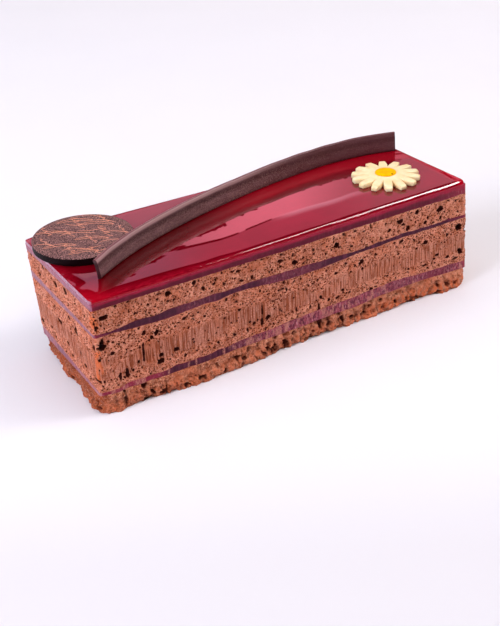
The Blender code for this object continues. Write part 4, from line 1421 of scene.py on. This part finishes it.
def floor_material():
    """The pale floor, a little darker nearer the camera, where shade is painted in."""
    s = Shader("pale_floor", 0.1, Roughness=0.6)
    # Painted shade: the floor darkens towards the camera.
    depth = s.add("ShaderNodeVectorMath", operation="DOT_PRODUCT")
    s.feed(depth.inputs[0], s.place)
    depth.inputs[1].default_value = (*ALONG_VIEW, 0.0)
    colour = s.mix(s.noise(60.0, detail=2.0), (236, 231, 236), (239, 234, 238))
    return s.finish(s.mix(s.fall(depth.outputs["Value"], -0.14, -0.07), colour, (224, 217, 221)))


def studio():
    """The floor, the soft light round it and the backdrop that the glaze mirrors."""
    bpy.ops.mesh.primitive_plane_add(size=FLOOR_SIZE, location=(0, 0, 0))
    floor = bpy.context.object
    floor.name = "floor"
    floor.data.materials.append(floor_material())
    world = bpy.data.worlds.new("studio")
    bpy.context.scene.world = world
    world.use_nodes = True
    background = world.node_tree.nodes["Background"]
    background.inputs["Color"].default_value = WORLD_COLOUR
    background.inputs["Strength"].default_value = WORLD_STRENGTH
    world.cycles_visibility.glossy = False
    for row in LIGHTS:
        light(*row)
    backdrop()
    bpy.context.scene.view_settings.view_transform = "Standard"


def main():
    """Makes every piece, from the foot up, and then the studio and the camera."""
    lower_low, lower_high = (partial(band_edge, LOWER_BAND, LOWER_BACK_RISE, column) for column in (1, 2))
    upper_low, upper_high = (partial(band_edge, UPPER_BAND, UPPER_BACK_RISE, column) for column in (1, 2))
    foam = crumb_material(
        "mousse_foam", (222, 142, 114), (178, 102, 78), (194, 92, 46), (66, 15, 5), 0.72, 1.0, 0.5
    )
    sponge = crumb_material(
        "sponge_crumb", (214, 134, 102), (142, 72, 48), (198, 90, 44), (78, 24, 11), 1.1, 0.4, 0.7
    )
    berry = jelly_material("berry_jelly_look", (64, 20, 40), (96, 42, 60), (118, 34, 54))
    top_berry = jelly_material("top_jelly_look", (90, 16, 36), (106, 28, 48), (118, 24, 46))

    # Only the mousse draws random numbers.
    base = base_layer(sponge)
    jelly_lower = jelly("jelly_lower", lower_low, lower_high, 16, 501, berry, LOWER_LOOK, LOWER_END_LOOK)
    mousse_thick = mousse("mousse_thick", lower_high, upper_low, 74, 101, foam)
    jelly_middle = jelly("jelly_middle", upper_low, upper_high, 14, 511, berry, UPPER_LOOK, UPPER_END_LOOK)
    mousse_thin = mousse("mousse_thin", upper_high, top_jelly_edge, 34, 131, foam)
    jelly_top = jelly(
        "jelly_top", top_jelly_edge, glaze_foot, 14, 521, top_berry, TOP_LOOK, UPPER_END_LOOK, glowing=1.0
    )
    pieces = (
        (base, "base_sponge", "base_sponge"),
        (jelly_lower, "berry_jelly", "berry_jelly_lower"),
        (mousse_thick, "chocolate_mousse", "mousse_lower"),
        (jelly_middle, "berry_jelly", "berry_jelly_middle"),
        (mousse_thin, "chocolate_mousse", "mousse_upper"),
        (jelly_top, "berry_jelly", "berry_jelly_top"),
        (glaze(glaze_material(), glaze_side_material()), "mirror_glaze", "mirror_glaze"),
        (disc(disc_material(), print_material()), "dark_chocolate", "chocolate_disc"),
        (curl(chocolate_material()), "dark_chocolate", "chocolate_curl"),
        (daisy(cream_material()), "white_chocolate", "daisy_petals"),
        (daisy_eye(yellow_material()), "daisy_yellow", "daisy_eye"),
    )
    for piece, slot, node in pieces:
        place(piece, slot, node)
    studio()
    camera()


main()
